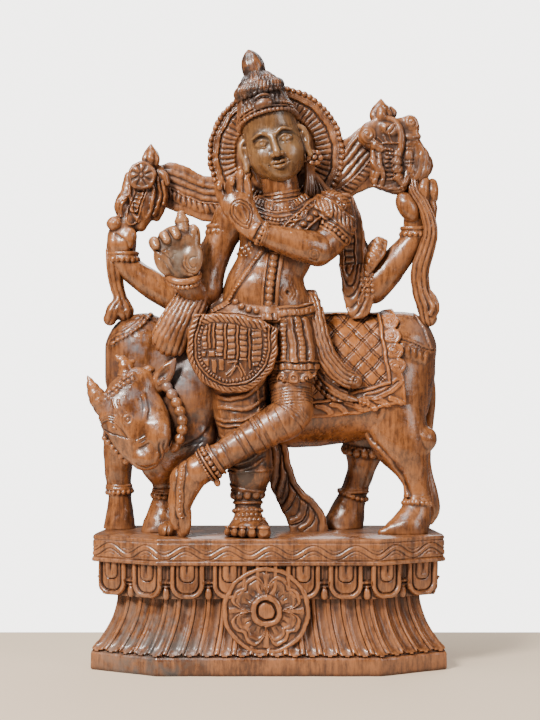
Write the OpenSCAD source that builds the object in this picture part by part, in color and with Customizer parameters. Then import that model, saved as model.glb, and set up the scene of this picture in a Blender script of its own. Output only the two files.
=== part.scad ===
// Carved wooden statue: a four-armed flute-player deity standing cross-legged before a cow,
// on a lotus plinth. The deity faces -Y, +X is to the viewer's right, +Z is up and the origin
// is the centre of the footprint on the surface it stands on. All sizes are in millimetres.
// Sides named right and left are the deity's own, so the right arm is at -X.

/* [Plinth] */
// Width of the plinth, which is the width of the statue
plinth_w = 353; // [320:1:400]
// Depth of the plinth, which is the depth of the statue
plinth_d = 127; // [120:1:150]
// Height of the bottom slab
slab_h = 18; // [12:1:24]
// Height at which the flared petals end and the lappets begin
petal_top = 74; // [60:1:84]
// Height at which the lappets end and the top slab begins
lappet_top = 107; // [98:1:116]
// Height of the top slab's upper face, where the feet stand
stage_h = 133; // [133:1:133]
// Radius of the flower rosette on the front of the plinth
rosette_r = 43; // [36:1:46]

/* [Cow] */
// Thickness of the barrel from flank to flank, as a share of its height
barrel_flat = 0.62; // [0.55:0.01:0.66]
// How far the saddle cloth stands off the flank
cloth_t = 3; // [2:0.5:4]

/* [Deity] */
// Thickness of the torso from front to back, as a share of its width
torso_flat = 0.62; // [0.55:0.01:0.7]
// Radius of the ringed halo behind the head
halo_r = 69; // [60:1:72]
// Thickness of the halo and of the drapery wings beside it
halo_t = 14; // [10:1:18]
// Sideways lean of the head and crown, in degrees
head_lean = 14; // [8:1:18]

/* [Hidden] */

light_wood = [0.56, 0.34, 0.20];
mid_wood = [0.47, 0.27, 0.15];
dark_wood = [0.36, 0.20, 0.12];

facets = 12;             // sides of a limb's section
half_w = plinth_w / 2;
half_d = plinth_d / 2;
halo_front = 6;          // the plane that the halo and the wings stand behind
halo_back = halo_front + halo_t;
head_c = [7, -24, 511];  // middle of the head
crown_seat = 26;         // from the middle of the head to the crown's underside, along the lean
halo_c = [7.5, 511];     // middle of the halo, in X and Z
earring_r = 8.6;
skirt_hem = 286;
skirt_top = 348;           // hidden under the belt
thigh_top = 320;           // the bare thigh ends here, inside the skirt
earring_c = [[-25, 488], [45.5, 504]];  // middles of the earrings, in X and Z

// ---- helpers -------------------------------------------------------------------------

// A point between p1 and p2 on the smooth curve through four stations.
function curve(p0, p1, p2, p3, t) =
    0.5 * (2 * p1 + (p2 - p0) * t + (2 * p0 - 5 * p1 + 4 * p2 - p3) * t * t
        + (3 * p1 - p0 - 3 * p2 + p3) * t * t * t);

// Stations [x, y, z, r] with n steps between each pair.
function smooth(st, n) = [
    for (i = [0 : len(st) - 2], k = [0 : n - 1])
        curve(st[max(i - 1, 0)], st[i], st[i + 1], st[min(i + 2, len(st) - 1)], k / n),
    st[len(st) - 1]
];

function arc(c, r, a0, a1, n) = [
    for (i = [0 : n]) let (a = a0 + (a1 - a0) * i / n) [c[0] + r * cos(a), c[1] + r * sin(a)]
];

module knob(s, flat, grow = 0)
    translate([s[0], s[1], s[2]])
        scale([1, flat, 1])
            sphere(r = s[3] + grow, $fn = facets);

// A round-sectioned limb through stations [x, y, z, r], flat times as deep as it is wide.
module limb(st, n = 4, flat = 1, grow = 0) {
    p = smooth(st, n);
    for (i = [0 : len(p) - 2])
        hull() {
            knob(p[i], flat, grow);
            knob(p[i + 1], flat, grow);
        }
}

// A board cut to an outline in X and Z, between two planes across Y.
module board(outline, y_front, y_back)
    translate([0, y_back, 0])
        rotate([90, 0, 0])
            linear_extrude(y_back - y_front)
                polygon(outline);

// The region above (or below) a level.
module above(z) translate([-300, -200, z]) cube([600, 400, 700]);
module below(z) translate([-300, -200, z - 700]) cube([600, 400, 700]);

// ---- plinth --------------------------------------------------------------------------

// Footprint of the plinth: a flat front and back with ends that come to a blunt point,
// drawn in by inset at the ends and by half of it at the front and back.
function footprint(inset) = let (x = half_w - inset, y = half_d - inset * 0.45) [
    [-x * 0.62, -y], [x * 0.62, -y], [x, -y * 0.42], [x, -y * 0.2],
    [x * 0.93, y], [-x * 0.93, y], [-x, -y * 0.2], [-x, -y * 0.42]
];

// Inset of the flared petals at a share t of their height.
function flare(t) = 1 + 27 * (1 - pow(1 - t, 1.8));

module loft(levels) {
    rings = [for (l = levels) [for (p = footprint(l[1])) [p[0], p[1], l[0]]]];
    n = len(rings[0]);
    m = len(rings);
    points = [for (r = rings, p = r) p];
    bottom = [for (i = [0 : n - 1]) i];
    top = [for (i = [n - 1 : -1 : 0]) (m - 1) * n + i];
    sides = [
        for (k = [0 : m - 2], i = [0 : n - 1], half = [0, 1])
            let (a = k * n + i, b = k * n + (i + 1) % n)
                half == 0 ? [a, a + n, b] : [b, a + n, b + n]
    ];
    polyhedron(points, concat([bottom, top], sides), convexity = 4);
}

module rosette_seat() board(arc([-2, 63.5], rosette_r, 0, 354, 59), -half_d, -half_d + 17);

module plinth_slab()
    color(light_wood)
        linear_extrude(slab_h) polygon(footprint(0));

module petal_flare()
    color(light_wood)
        difference() {
            loft([for (t = [0 : 0.2 : 1]) [slab_h + (petal_top - slab_h) * t, flare(t)]]);
            rosette_seat();
        }

module lappet_frieze()
    color(light_wood)
        difference() {
            translate([0, 0, petal_top]) linear_extrude(lappet_top - petal_top) polygon(footprint(10));
            rosette_seat();
        }

module stage_slab()
    color(mid_wood)
        translate([0, 0, lappet_top])
            linear_extrude(stage_h - lappet_top) polygon(footprint(3));

module rosette()
    color(light_wood)
        intersection() {
            rosette_seat();
            below(lappet_top);
            above(slab_h);
        }

// ---- cow -----------------------------------------------------------------------------

// The barrel of the cow with its square shoulder and rump.
module barrel_form(grow = 0)
    union() {
        limb([
            [-108, 20, 294, 50], [-60, 18, 284, 62], [25, 18, 285, 65],
            [90, 18, 287, 64], [112, 20, 294, 54]
        ], 3, barrel_flat, grow);
        limb([[-128, 16, 315, 37], [-128, 16, 285, 37]], 1, 0.82, grow);
        limb([[131, 14, 316, 38], [127, 13, 266, 36]], 1, 0.82, grow);
    }

module neck_form()
    limb([[-66, -4, 292, 40], [-80, -8, 262, 37], [-92, -10, 232, 26], [-100, -6, 210, 16]], 3, 0.75);

module cow_head_form()
    limb([[-132, -34, 280, 24], [-134, -36, 258, 34], [-124, -40, 233, 28], [-120, -42, 218, 17]], 3, 0.62);

module hind_leg_near_form()
    limb([
        [119, -1, 270, 38], [131, -3, 227, 29], [141, -4, 201, 18],
        [147, -4, 172, 12.5], [146, -5, 150, 16], [138, -8, 136, 20]
    ], 2, 0.74);

module hind_leg_far_form()
    limb([
        [100, 36, 246, 30], [99, 38, 216, 22], [97, 39, 192, 15],
        [88, 40, 168, 12.5], [80, 41, 148, 17], [77, 41, 136, 20]
    ], 2, 0.8);

module cow_body()
    color(mid_wood)
        barrel_form();

module cow_neck()
    color(dark_wood)
        difference() {
            neck_form();
            barrel_form();
        }

module cow_head()
    color(mid_wood)
        difference() {
            cow_head_form();
            neck_form();
            barrel_form();
        }

module cow_horns()
    color(light_wood)
        difference() {
            union() {
                limb([[-160, -39, 260, 10], [-166, -41, 269, 9], [-172, -42, 280, 5], [-176, -42, 290, 1]], 2);
                limb([[-137, -32, 284, 9.5], [-139, -32, 295, 9], [-142, -32, 303, 6], [-149, -33, 309, 2]], 2);
            }
            cow_head_form();
            barrel_form();
        }

module cow_ear()
    color(mid_wood)
        difference() {
            limb([[-112, -34, 277, 6], [-104, -36, 286, 11], [-93, -38, 303, 3]], 4, 0.5);
            cow_head_form();
            neck_form();
            barrel_form();
        }

module cow_tail()
    color(dark_wood)
        difference() {
            limb([
                [163, 34, 300, 6], [169, 40, 262, 5], [167, 46, 215, 5],
                [168, 50, 168, 8], [170, 50, 142, 4]
            ], 3);
            barrel_form();
        }

module fore_leg_far()
    color(mid_wood)
        difference() {
            limb([
                [-142, 32, 262, 26], [-151, 34, 222, 17], [-153, 35, 188, 14],
                [-152, 35, 164, 11.5], [-152, 37, 136, 15]
            ], 3);
            barrel_form();
            below(stage_h);
        }

module fore_leg_near()
    color(dark_wood)
        difference() {
            limb([
                [-105, 8, 238, 26], [-107, 9, 208, 23], [-104.5, 12, 186, 14],
                [-103.5, 12, 170, 12], [-105, 12, 156, 14.5], [-109, 8, 136, 19]
            ], 2);
            barrel_form();
            neck_form();
            below(stage_h);
        }

module hind_leg_near()
    color(mid_wood)
        difference() {
            union() {
                hind_leg_near_form();
                limb([[150, -2, 236, 10], [157, -2, 224, 9]], 1);
            }
            barrel_form();
            below(stage_h);
        }

module hind_leg_far()
    color(mid_wood)
        difference() {
            hind_leg_far_form();
            hind_leg_near_form();
            barrel_form();
            below(stage_h);
        }

module saddle_cloth()
    color(light_wood)
        difference() {
            intersection() {
                barrel_form(cloth_t);
                board([[46, 356], [132, 356], [140, 262], [88, 246], [44, 246]], -30, 18);
            }
            barrel_form();
            hind_leg_near_form();
            skirt_form();
            thigh_form();
            shin_form();
            hip_sash_form();
            belt_form();
            torso_form();
        }

// Strung bells round the throat, each a short barrel.
module bell_collar()
    color(light_wood)
        difference() {
            for (i = [0 : 7])
                let (a = 62 - i * 17)
                    translate([-113 + 32 * cos(a), -36 + 0.22 * pow(i - 2, 2), 254 + 32 * sin(a)])
                        rotate([0, 90 - a, 0])
                            hull() {
                                cylinder(h = 4, r = 5.5, center = true, $fn = facets);
                                cylinder(h = 7.5, r = 3.5, center = true, $fn = facets);
                            }
            neck_form();
            cow_head_form();
            barrel_form();
        }

// ---- deity: body ---------------------------------------------------------------------

module torso_form()
    limb([
        [-2, -20, 356, 44], [1, -20, 374, 38], [3, -20, 394, 35],
        [10, -20, 416, 38], [16, -20, 428, 39]
    ], 2, torso_flat);

module neck_column() translate([15, -21, 452]) rotate([0, -8, 0]) cylinder(h = 40, r = 19, $fn = 48);

// The head's own frame: origin at its middle, leaning to the right shoulder.
module in_head() translate(head_c) rotate([0, -head_lean, 0]) children();

module skull()
    in_head()
        limb([[0, -3, -15, 19], [0, 0, -2, 26], [0, 1, 9, 29.5], [0, 2, 18, 28]], 3);

module thigh_form()
    limb([[20, -20, 330, 26], [21, -27, 306, 23.5], [21.5, -33, 280, 21], [23, -38, 256, 20]], 3);

module shin_form()
    limb([[23, -39, 253, 20], [1, -42, 240, 18], [-22, -43, 226, 15.5], [-54, -44, 207, 13]], 3);

module skirt_form()
    intersection() {
        limb([[16, -20, 340, 29], [21, -24, 320, 27], [23, -29, 302, 24], [23.5, -32, 294, 22.5]], 3, 0.95);
        above(skirt_hem);
        below(skirt_top);
    }

module standing_leg_form()
    limb([
        [-24, -16, 326, 28], [-26, -20, 290, 28], [-25, -20, 248, 23],
        [-22, -18, 205, 18], [-21, -18, 166, 14], [-21, -20, 150, 14]
    ], 2);

module belt_form()
    limb([[-48, -24, 354, 8], [-26, -42, 348, 8], [6, -46, 346, 8], [30, -40, 349, 8], [46, -24, 354, 8]], 3);

module torso() color(light_wood) torso_form();

module neck()
    color(light_wood)
        difference() {
            neck_column();
            torso_form();
            skull();
        }

module head()
    color(light_wood)
        difference() {
            skull();
            in_head() translate([-60, -60, crown_seat - 4]) cube([120, 120, 60]);
        }

// The crown is turned about the head's leaning axis: band, dome, brim, neck and bud.
module crown()
    color(dark_wood)
        difference() {
            in_head()
                translate([0, 2, crown_seat - 4])
                    rotate_extrude($fn = 64)
                        polygon([
                            [0, 0], [31, 0], [32.5, 4], [31, 8], [27, 14], [23.5, 22], [22, 34],
                            [25.5, 37], [25.5, 43], [22, 46], [16, 47], [16, 52], [12.5, 54],
                            [12, 57], [8, 58.5], [10.6, 63], [10, 69], [5.6, 75], [0, 79.6]
                        ]);
            translate([-60, halo_front, 480]) cube([120, 60, 160]);
        }

module halo_disc() translate([halo_c[0], halo_back, halo_c[1]]) rotate([90, 0, 0])
    cylinder(h = halo_t, r = halo_r, $fn = 96);

module halo() color(mid_wood) halo_disc();

module earring_studs()
    for (c = earring_c)
        translate([c[0], -22, c[1]]) rotate([90, 0, 0]) cylinder(h = 9, r = earring_r, $fn = 32);

module earrings()
    color(light_wood)
        difference() {
            earring_studs();
            skull();
        }

// ---- deity: drapery wings beside the halo --------------------------------------------

module right_wing_form()
    board([
        [-116, 499], [-104, 503], [-88, 502], [-74, 494], [-60, 489], [-36, 490],
        [-36, 446], [-62, 444], [-81, 450], [-101, 457], [-112, 452], [-124, 458]
    ], halo_front, halo_back);

module right_wing_drape()
    color(mid_wood)
        difference() {
            right_wing_form();
            halo_disc();
            rear_right_upper_form();
        }

module left_wing_drape()
    color(mid_wood)
        difference() {
            board([
                [56, 530], [68, 522], [78, 528], [104, 545], [114, 540], [112, 486],
                [100, 477], [84, 468], [72, 452], [40, 452], [40, 500]
            ], halo_front, halo_back);
            halo_disc();
            rear_left_upper_form();
        }

// ---- deity: arms ---------------------------------------------------------------------

module right_upper_arm_form()
    limb([[-38, -16, 444, 17], [-48, -15, 422, 15], [-60, -16, 396, 14], [-66, -20, 376, 13]], 3);

module right_forearm_form()
    limb([[-67, -24, 372, 13], [-75, -34, 375, 12.5], [-83, -43, 386, 11]], 4);

module left_upper_arm_form()
    limb([[62, -16, 448, 23], [66, -22, 434, 19], [58, -32, 419, 16]], 4);

module left_forearm_form()
    limb([[50, -40, 415, 15], [30, -46, 419, 14.5], [8, -50, 424, 12], [-8, -51, 428, 9.5]], 3);

module right_upper_arm()
    color(mid_wood)
        difference() {
            right_upper_arm_form();
            torso_form();
        }

module right_forearm()
    color(mid_wood)
        difference() {
            right_forearm_form();
            right_upper_arm_form();
        }

module right_hand()
    color(light_wood)
        difference() {
            union() {
                limb([[-83, -46, 392, 12], [-88, -47, 404, 18], [-90, -47, 416, 20]], 2, 0.5);
                for (f = [[-112, 421], [-102, 427], [-92, 431]])
                    limb([[f[0] + 7, -46, f[1] - 11, 6.2], [f[0] + 1, -52, f[1] + 2, 6]], 1);
                limb([[-86, -46, 424, 6], [-84.5, -45, 446, 4.5]], 2);
                limb([[-76, -49, 408, 8], [-72, -47, 434, 4.5]], 2);
            }
            right_forearm_form();
        }

module left_upper_arm()
    color(mid_wood)
        difference() {
            left_upper_arm_form();
            torso_form();
        }

module left_forearm()
    color(light_wood)
        difference() {
            left_forearm_form();
            left_upper_arm_form();
            torso_form();
        }

module left_hand()
    color(light_wood)
        difference() {
            union() {
                limb([[-12, -51, 430, 9], [-20, -51, 444, 14], [-29, -51, 462, 16]], 3, 0.55);
                for (f = [[-44, 477], [-34, 482], [-26, 489], [-17, 482]])
                    limb([[f[0] * 0.8 - 6, -51, f[1] - 16, 5.5], [f[0], -52, f[1], 4]], 1);
            }
            left_forearm_form();
            torso_form();
            skull();
            earring_studs();
        }

module rear_right_upper_form()
    limb([[-40, 14, 444, 14], [-58, 13, 414, 13], [-72, 12, 388, 14], [-82, 10, 366, 14]], 3);

module rear_right_forearm_form()
    limb([[-86, 9, 364, 14], [-108, 8, 373, 13.5], [-130, 7, 388, 11.5], [-146, 6, 402, 9]], 3);

module rear_left_upper_form()
    limb([[70, 14, 444, 16], [84, 13, 416, 15], [96, 11, 392, 16], [102, 9, 378, 17]], 3);

module rear_left_forearm_form()
    limb([[106, 8, 379, 16.5], [118, 7, 392, 15.5], [132, 6, 408, 13], [144, 6, 423, 10.5]], 3);

module rear_right_hand_form()
    limb([
        [-146, 5, 408, 10], [-147, 4, 421, 14], [-144, 3, 436, 12.5],
        [-136, 2, 450, 10.5], [-128, 2, 466, 12], [-124, 3, 480, 12]
    ], 2, 0.85);

module rear_left_hand_form()
    union() {
        limb([[147, 5, 430, 10.5], [146, 3, 442, 11], [148, 2, 456, 12], [152, 2, 472, 10]], 2, 0.9);
        limb([[142, -4, 449, 8], [135, -5, 466, 8]], 2);
        limb([[155, -5, 466, 6], [155, -6, 480, 6]], 2);
        limb([[162, -2, 445, 4.5], [164, -3, 466, 5], [163, -3, 480, 5]], 2);
    }

// What the rear left hand lifts: a shell with its ribbons as one rounded group.
conch_group = [
    [89, 529], [92, 519], [103, 512], [101, 496], [103, 481], [113, 474], [127, 470], [136, 474],
    [142, 482], [153, 483], [162, 492], [162, 503], [156, 516], [150, 526], [149, 540], [143, 548],
    [132, 546], [126, 546], [113, 549], [100, 543], [93, 538]
];
module conch_form()
    union() {
        board(conch_group, -13, 11);
        translate([112, 1, 543])
            rotate_extrude($fn = 32)
                polygon([[0, -6], [9, -6], [9.5, 1], [11.5, 6], [7, 13], [0, 23]]);
    }

module discus_form()
    translate([-127, -5, 487.5]) rotate([90, 0, 0]) cylinder(h = 11, r = 15, $fn = 48);

module rear_right_upper_arm()
    color(dark_wood)
        difference() {
            rear_right_upper_form();
            torso_form();
            right_upper_arm_form();
            right_forearm_form();
            barrel_form();
        }

module rear_right_forearm()
    color(mid_wood)
        difference() {
            rear_right_forearm_form();
            rear_right_upper_form();
            right_upper_arm_form();
            barrel_form();
        }

module rear_right_hand()
    color(mid_wood)
        difference() {
            rear_right_hand_form();
            rear_right_forearm_form();
            discus_form();
            right_wing_form();
        }

// The discus has a lotus bud standing on its rim, turned about an upright axis.
module discus()
    color(mid_wood) {
        discus_form();
        translate([-117.5, -1, 504])
            rotate_extrude($fn = 32)
                polygon([[0, -6], [3.5, -6], [3.5, 0], [7, 3], [7.5, 7], [4.5, 13], [0, 18]]);
    }

module rear_left_upper_arm()
    color(dark_wood)
        difference() {
            rear_left_upper_form();
            torso_form();
            left_upper_arm_form();
            barrel_form(cloth_t);
        }

module rear_left_forearm()
    color(mid_wood)
        difference() {
            rear_left_forearm_form();
            rear_left_upper_form();
            barrel_form(cloth_t);
        }

module rear_left_hand()
    color(mid_wood)
        difference() {
            rear_left_hand_form();
            rear_left_forearm_form();
            conch_form();
        }

module conch()
    color(mid_wood)
        difference() {
            conch_form();
            translate([60, halo_front, 440]) cube([54, halo_t, 120]);
        }

// ---- deity: ribbons, sashes and skirts -----------------------------------------------

module right_ribbon()
    color(mid_wood)
        difference() {
            limb([
                [-156, 4, 412, 6], [-154, 4, 398, 7.5], [-152, 6, 380, 6.5],
                [-149, 8, 364, 8], [-150, 8, 350, 10], [-160, 4, 343, 6]
            ], 2, 0.9);
            rear_right_forearm_form();
            rear_right_hand_form();
            barrel_form();
        }

module left_ribbon()
    color(mid_wood)
        difference() {
            limb([
                [144, -5, 480, 5], [153, -8, 460, 5.5], [161, -7, 432, 6.5], [155, -2, 408, 8],
                [151.5, 2, 388, 8.4], [154, 4, 368, 8.6], [160, 5, 349, 8.4]
            ], 2, 0.9);
            rear_left_forearm_form();
            rear_left_hand_form();
            conch_form();
            barrel_form();
        }

module chest_garland()
    color(light_wood)
        difference() {
            limb([[6, -46, 408, 6], [4, -46, 388, 7], [2, -47, 368, 7], [2, -48, 356, 7]], 3, 0.6);
            torso_form();
            left_forearm_form();
            belt_form();
        }

module belt()
    color(mid_wood)
        difference() {
            belt_form();
            torso_form();
        }

// The apron is a board with a round bottom, hung from the belt in front of the thighs.
module apron_form()
    board(concat(arc([-35, 315], 43.5, -180, 0, 24), [[7, 342], [-8, 339], [-30, 340], [-50, 346], [-62, 346]]),
        -60, -46);

module apron()
    color(light_wood)
        difference() {
            apron_form();
            belt_form();
            skirt_form();
            standing_leg_form();
            torso_form();
            thigh_form();
            neck_form();
        }

module skirt()
    color(light_wood)
        difference() {
            skirt_form();
            torso_form();
            belt_form();
            barrel_form();
        }

module crossed_thigh()
    color(light_wood)
        difference() {
            thigh_form();
            skirt_form();
            torso_form();
            belt_form();
            barrel_form();
            above(thigh_top);
        }

module crossed_shin()
    color(light_wood)
        difference() {
            shin_form();
            thigh_form();
            skirt_form();
        }

module crossed_foot()
    color(light_wood)
        difference() {
            limb([
                [-58, -44, 205, 13], [-71, -44, 197, 14.5], [-80, -44, 184, 14], [-85.5, -44, 170, 12],
                [-87, -44, 157, 9], [-85.5, -44, 146, 6], [-84, -44, 136, 4.5]
            ], 2);
            shin_form();
            cow_head_form();
            neck_form();
            below(stage_h);
        }

module standing_leg()
    color(mid_wood)
        difference() {
            standing_leg_form();
            shin_form();
            thigh_form();
            skirt_form();
            torso_form();
            belt_form();
            barrel_form();
        }

module standing_foot()
    color(mid_wood)
        difference() {
            union() {
                limb([[-21, -20, 152, 15], [-21, -24, 142, 17], [-20, -32, 136, 18]], 3);
                for (i = [-2 : 2])
                    limb([[-20 + i * 8, -36, 140, 6], [-20 + i * 9, -47 + abs(i), 138, 5.5]], 1);
            }
            standing_leg_form();
            below(stage_h);
        }

module arm_drapery()
    color(light_wood)
        difference() {
            limb([[-72, -29, 370, 13], [-79, -32, 354, 17], [-89, -33, 337, 19], [-97, -33, 327, 18]], 3, 0.6);
            right_forearm_form();
            right_upper_arm_form();
            rear_right_forearm_form();
            rear_right_upper_form();
            barrel_form();
            neck_form();
            torso_form();
            apron_form();
            belt_form();
        }

module hip_sash_form()
    limb([[46, -22, 356, 9], [50, -26, 330, 11], [58, -28, 304, 12], [74, -28, 286, 10], [86, -26, 282, 7]], 2, 0.8);

module hip_sash()
    color(light_wood)
        difference() {
            hip_sash_form();
            torso_form();
            skirt_form();
            thigh_form();
            belt_form();
            barrel_form();
        }

module shoulder_sash()
    color(light_wood)
        difference() {
            limb([[84, -4, 456, 13], [86, -4, 424, 15], [90, -4, 388, 16], [92, -4, 360, 13]], 3, 0.6);
            rear_left_upper_form();
            rear_left_forearm_form();
            left_upper_arm_form();
            torso_form();
            barrel_form(cloth_t);
        }

// End of the sash that sweeps down behind the standing leg to the stage.
module back_sash_tail()
    color(dark_wood)
        difference() {
            board([
                [-6, 230], [19, 230], [22, 204], [30, 178], [48, 160], [55, 146], [55, stage_h],
                [22, stage_h], [20, 147], [8, 168], [-4, 182]
            ], 2, 16);
            barrel_form();
            standing_leg_form();
            shin_form();
        }

plinth_slab();
petal_flare();
lappet_frieze();
stage_slab();
rosette();
cow_body();
cow_neck();
cow_head();
cow_horns();
cow_ear();
cow_tail();
fore_leg_far();
fore_leg_near();
hind_leg_near();
hind_leg_far();
saddle_cloth();
bell_collar();
torso();
neck();
head();
crown();
halo();
earrings();
right_wing_drape();
left_wing_drape();
right_upper_arm();
right_forearm();
right_hand();
left_upper_arm();
left_forearm();
left_hand();
rear_right_upper_arm();
rear_right_forearm();
rear_right_hand();
discus();
rear_left_upper_arm();
rear_left_forearm();
rear_left_hand();
conch();
right_ribbon();
left_ribbon();
chest_garland();
belt();
apron();
skirt();
crossed_thigh();
crossed_shin();
crossed_foot();
standing_leg();
standing_foot();
arm_drapery();
hip_sash();
shoulder_sash();
back_sash_tail();
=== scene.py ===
import math
import bpy
import numpy as np
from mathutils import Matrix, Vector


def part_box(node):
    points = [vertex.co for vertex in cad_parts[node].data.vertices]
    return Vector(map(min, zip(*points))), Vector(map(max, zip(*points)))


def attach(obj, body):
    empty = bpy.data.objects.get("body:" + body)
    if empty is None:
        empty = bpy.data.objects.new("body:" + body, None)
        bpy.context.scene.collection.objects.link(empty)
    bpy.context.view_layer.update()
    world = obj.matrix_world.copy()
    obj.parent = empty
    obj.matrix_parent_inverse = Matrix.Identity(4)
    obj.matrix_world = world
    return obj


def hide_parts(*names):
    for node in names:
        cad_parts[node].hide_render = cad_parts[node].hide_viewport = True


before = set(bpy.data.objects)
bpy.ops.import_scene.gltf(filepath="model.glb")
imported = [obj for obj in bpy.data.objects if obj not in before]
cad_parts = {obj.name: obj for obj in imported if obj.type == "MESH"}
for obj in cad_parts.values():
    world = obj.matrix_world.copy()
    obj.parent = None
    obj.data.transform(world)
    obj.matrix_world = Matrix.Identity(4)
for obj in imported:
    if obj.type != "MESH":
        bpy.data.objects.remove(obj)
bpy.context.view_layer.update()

import openvdb

MM = 0.001
FAR = 60.0                       # a distance that is outside everything, in mm
COARSE = 1.0
QUARTER = math.pi / 2


def box_mm(node):
    """Lowest and highest corner of a CAD node, in mm."""
    low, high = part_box(node)
    return np.array(low) / MM, np.array(high) / MM


# ---- curves and carved patterns; u runs along a line and v across it, in mm -----------

def spline(rows, steps=6):
    """Points on a smooth curve through the rows."""
    p = np.array(rows, float)
    p = np.vstack([2 * p[0] - p[1], p, 2 * p[-1] - p[-2]])
    t = np.linspace(0, 1, steps, endpoint=False)[:, None]
    runs = [0.5 * (2 * b + (c - a) * t + (2 * a - 5 * b + 4 * c - d) * t ** 2
                   + (3 * b - a - 3 * c + d) * t ** 3) for a, b, c, d in zip(p, p[1:], p[2:], p[3:])]
    return np.vstack(runs + [p[-2][None]])


def lengths(points):
    """Distance along a line to each of its points."""
    return np.concatenate([[0], np.cumsum(np.linalg.norm(np.diff(points, axis=0), axis=1))])


def trace(x, z, rows, steps=5):
    """Distance along (u) and signed distance across (v) the curve through rows of (x, z)."""
    p = spline(rows, steps)
    run = lengths(p)
    best = np.full(np.broadcast(x, z).shape, 1e9, np.float32)
    u = np.zeros_like(best)
    side = np.ones_like(best)
    for i, (a, b) in enumerate(zip(p, p[1:])):
        dx, dz = b - a
        t = np.clip(((x - a[0]) * dx + (z - a[1]) * dz) / (dx * dx + dz * dz), 0, 1)
        ex, ez = x - a[0] - t * dx, z - a[1] - t * dz
        gap = ex * ex + ez * ez
        near = gap < best
        best = np.where(near, gap, best)
        u = np.where(near, run[i] + t * (run[i + 1] - run[i]), u)
        side = np.where(near, np.sign(dx * ez - dz * ex), side)
    return u, np.sqrt(best) * side


def outline(x, z, rows, steps=1):
    """Signed distance to a closed outline, negative inside."""
    p = spline(rows + rows[:1], steps) if steps > 1 else np.array(rows + rows[:1], float)
    best = np.full(np.broadcast(x, z).shape, 1e9, np.float32)
    inside = np.zeros(best.shape, bool)
    for a, b in zip(p, p[1:]):
        dx, dz = b - a
        t = np.clip(((x - a[0]) * dx + (z - a[1]) * dz) / (dx * dx + dz * dz + 1e-9), 0, 1)
        best = np.minimum(best, (x - a[0] - t * dx) ** 2 + (z - a[1] - t * dz) ** 2)
        crosses = ((a[1] > z) != (b[1] > z)) & (x < dx * (z - a[1]) / (dz + 1e-9) + a[0])
        inside ^= crosses
    return np.where(inside, -1, 1) * np.sqrt(best)


def ridge(v, width, height):
    return height * np.sqrt(np.clip(1 - (v / width) ** 2, 0, 1))


def groove(v, width, depth):
    return -depth * np.exp(-(v / width) ** 2)


def beads(u, v, pitch, radius):
    a = (u / pitch - np.floor(u / pitch) - 0.5) * pitch
    return np.sqrt(np.clip(radius ** 2 - a * a - v * v, 0, None))


def pleats(u, pitch, height):
    """Rounded folds with a sharp valley every pitch."""
    return height * np.abs(np.sin(math.pi * u / pitch)) ** 0.6


def within(v, low, high, soft=0.8):
    return np.clip((v - low) / soft, 0, 1) * np.clip((high - v) / soft, 0, 1)


def leaves(u, v, pitch, half, height, slant=0.8):
    """A row of slanting leaves across a band from -half to half."""
    edge = np.clip(1 - (v / half) ** 2, 0, 1) ** 0.5
    return pleats(u + slant * v, pitch, height) * edge


def scroll(x, z, cx, cz, radius, height, turns=2.2, spin=1):
    """A spiral volute."""
    rho = np.hypot(x - cx, z - cz)
    theta = np.arctan2(z - cz, (x - cx) * spin)
    wave = 0.5 + 0.5 * np.cos(2 * math.pi * turns * rho / radius - theta)
    dome = np.sqrt(np.clip(1 - (rho / radius) ** 2, 0, 1))
    return height * dome * (0.45 + 0.55 * wave)


def by_hand(x, z, size=0.42):
    """Places across the front with the waver of a hand-held tool."""
    return (x + size * (np.sin(0.29 * z + 1.1 * np.sin(0.17 * x)) + 0.45 * np.sin(0.83 * z + 0.5 * x)),
            z + size * (np.sin(0.26 * x + 0.9 * np.sin(0.21 * z)) + 0.45 * np.sin(0.77 * x - 0.6 * z)))


def smin(a, b, blend):
    if blend <= 0:
        return np.minimum(a, b)
    h = np.clip(0.5 + 0.5 * (b - a) / blend, 0, 1)
    return b + (a - b) * h - blend * h * (1 - h)


def smax(a, b, blend):
    return -smin(-a, -b, blend)


class Limb:
    """A round-sectioned form through stations (x, y, z, radius), flat times as deep as wide."""

    def __init__(self, rows, flat=1.0, steps=6):
        self.p = spline(rows, steps)
        self.s = lengths(self.p[:, :3])
        self.flat = flat

    @staticmethod
    def axes(tangent):
        """The directions to the front of the limb and to its side."""
        t = tangent / (np.linalg.norm(tangent) + 1e-9)
        front = np.array([0.0, -1.0, 0.0])
        front = front - t * front.dot(t)
        if np.linalg.norm(front) < 0.2:
            front = np.array([0.0, 0.0, 1.0]) - t * t[2]
        front /= np.linalg.norm(front)
        return front, np.cross(t, front)


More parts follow.
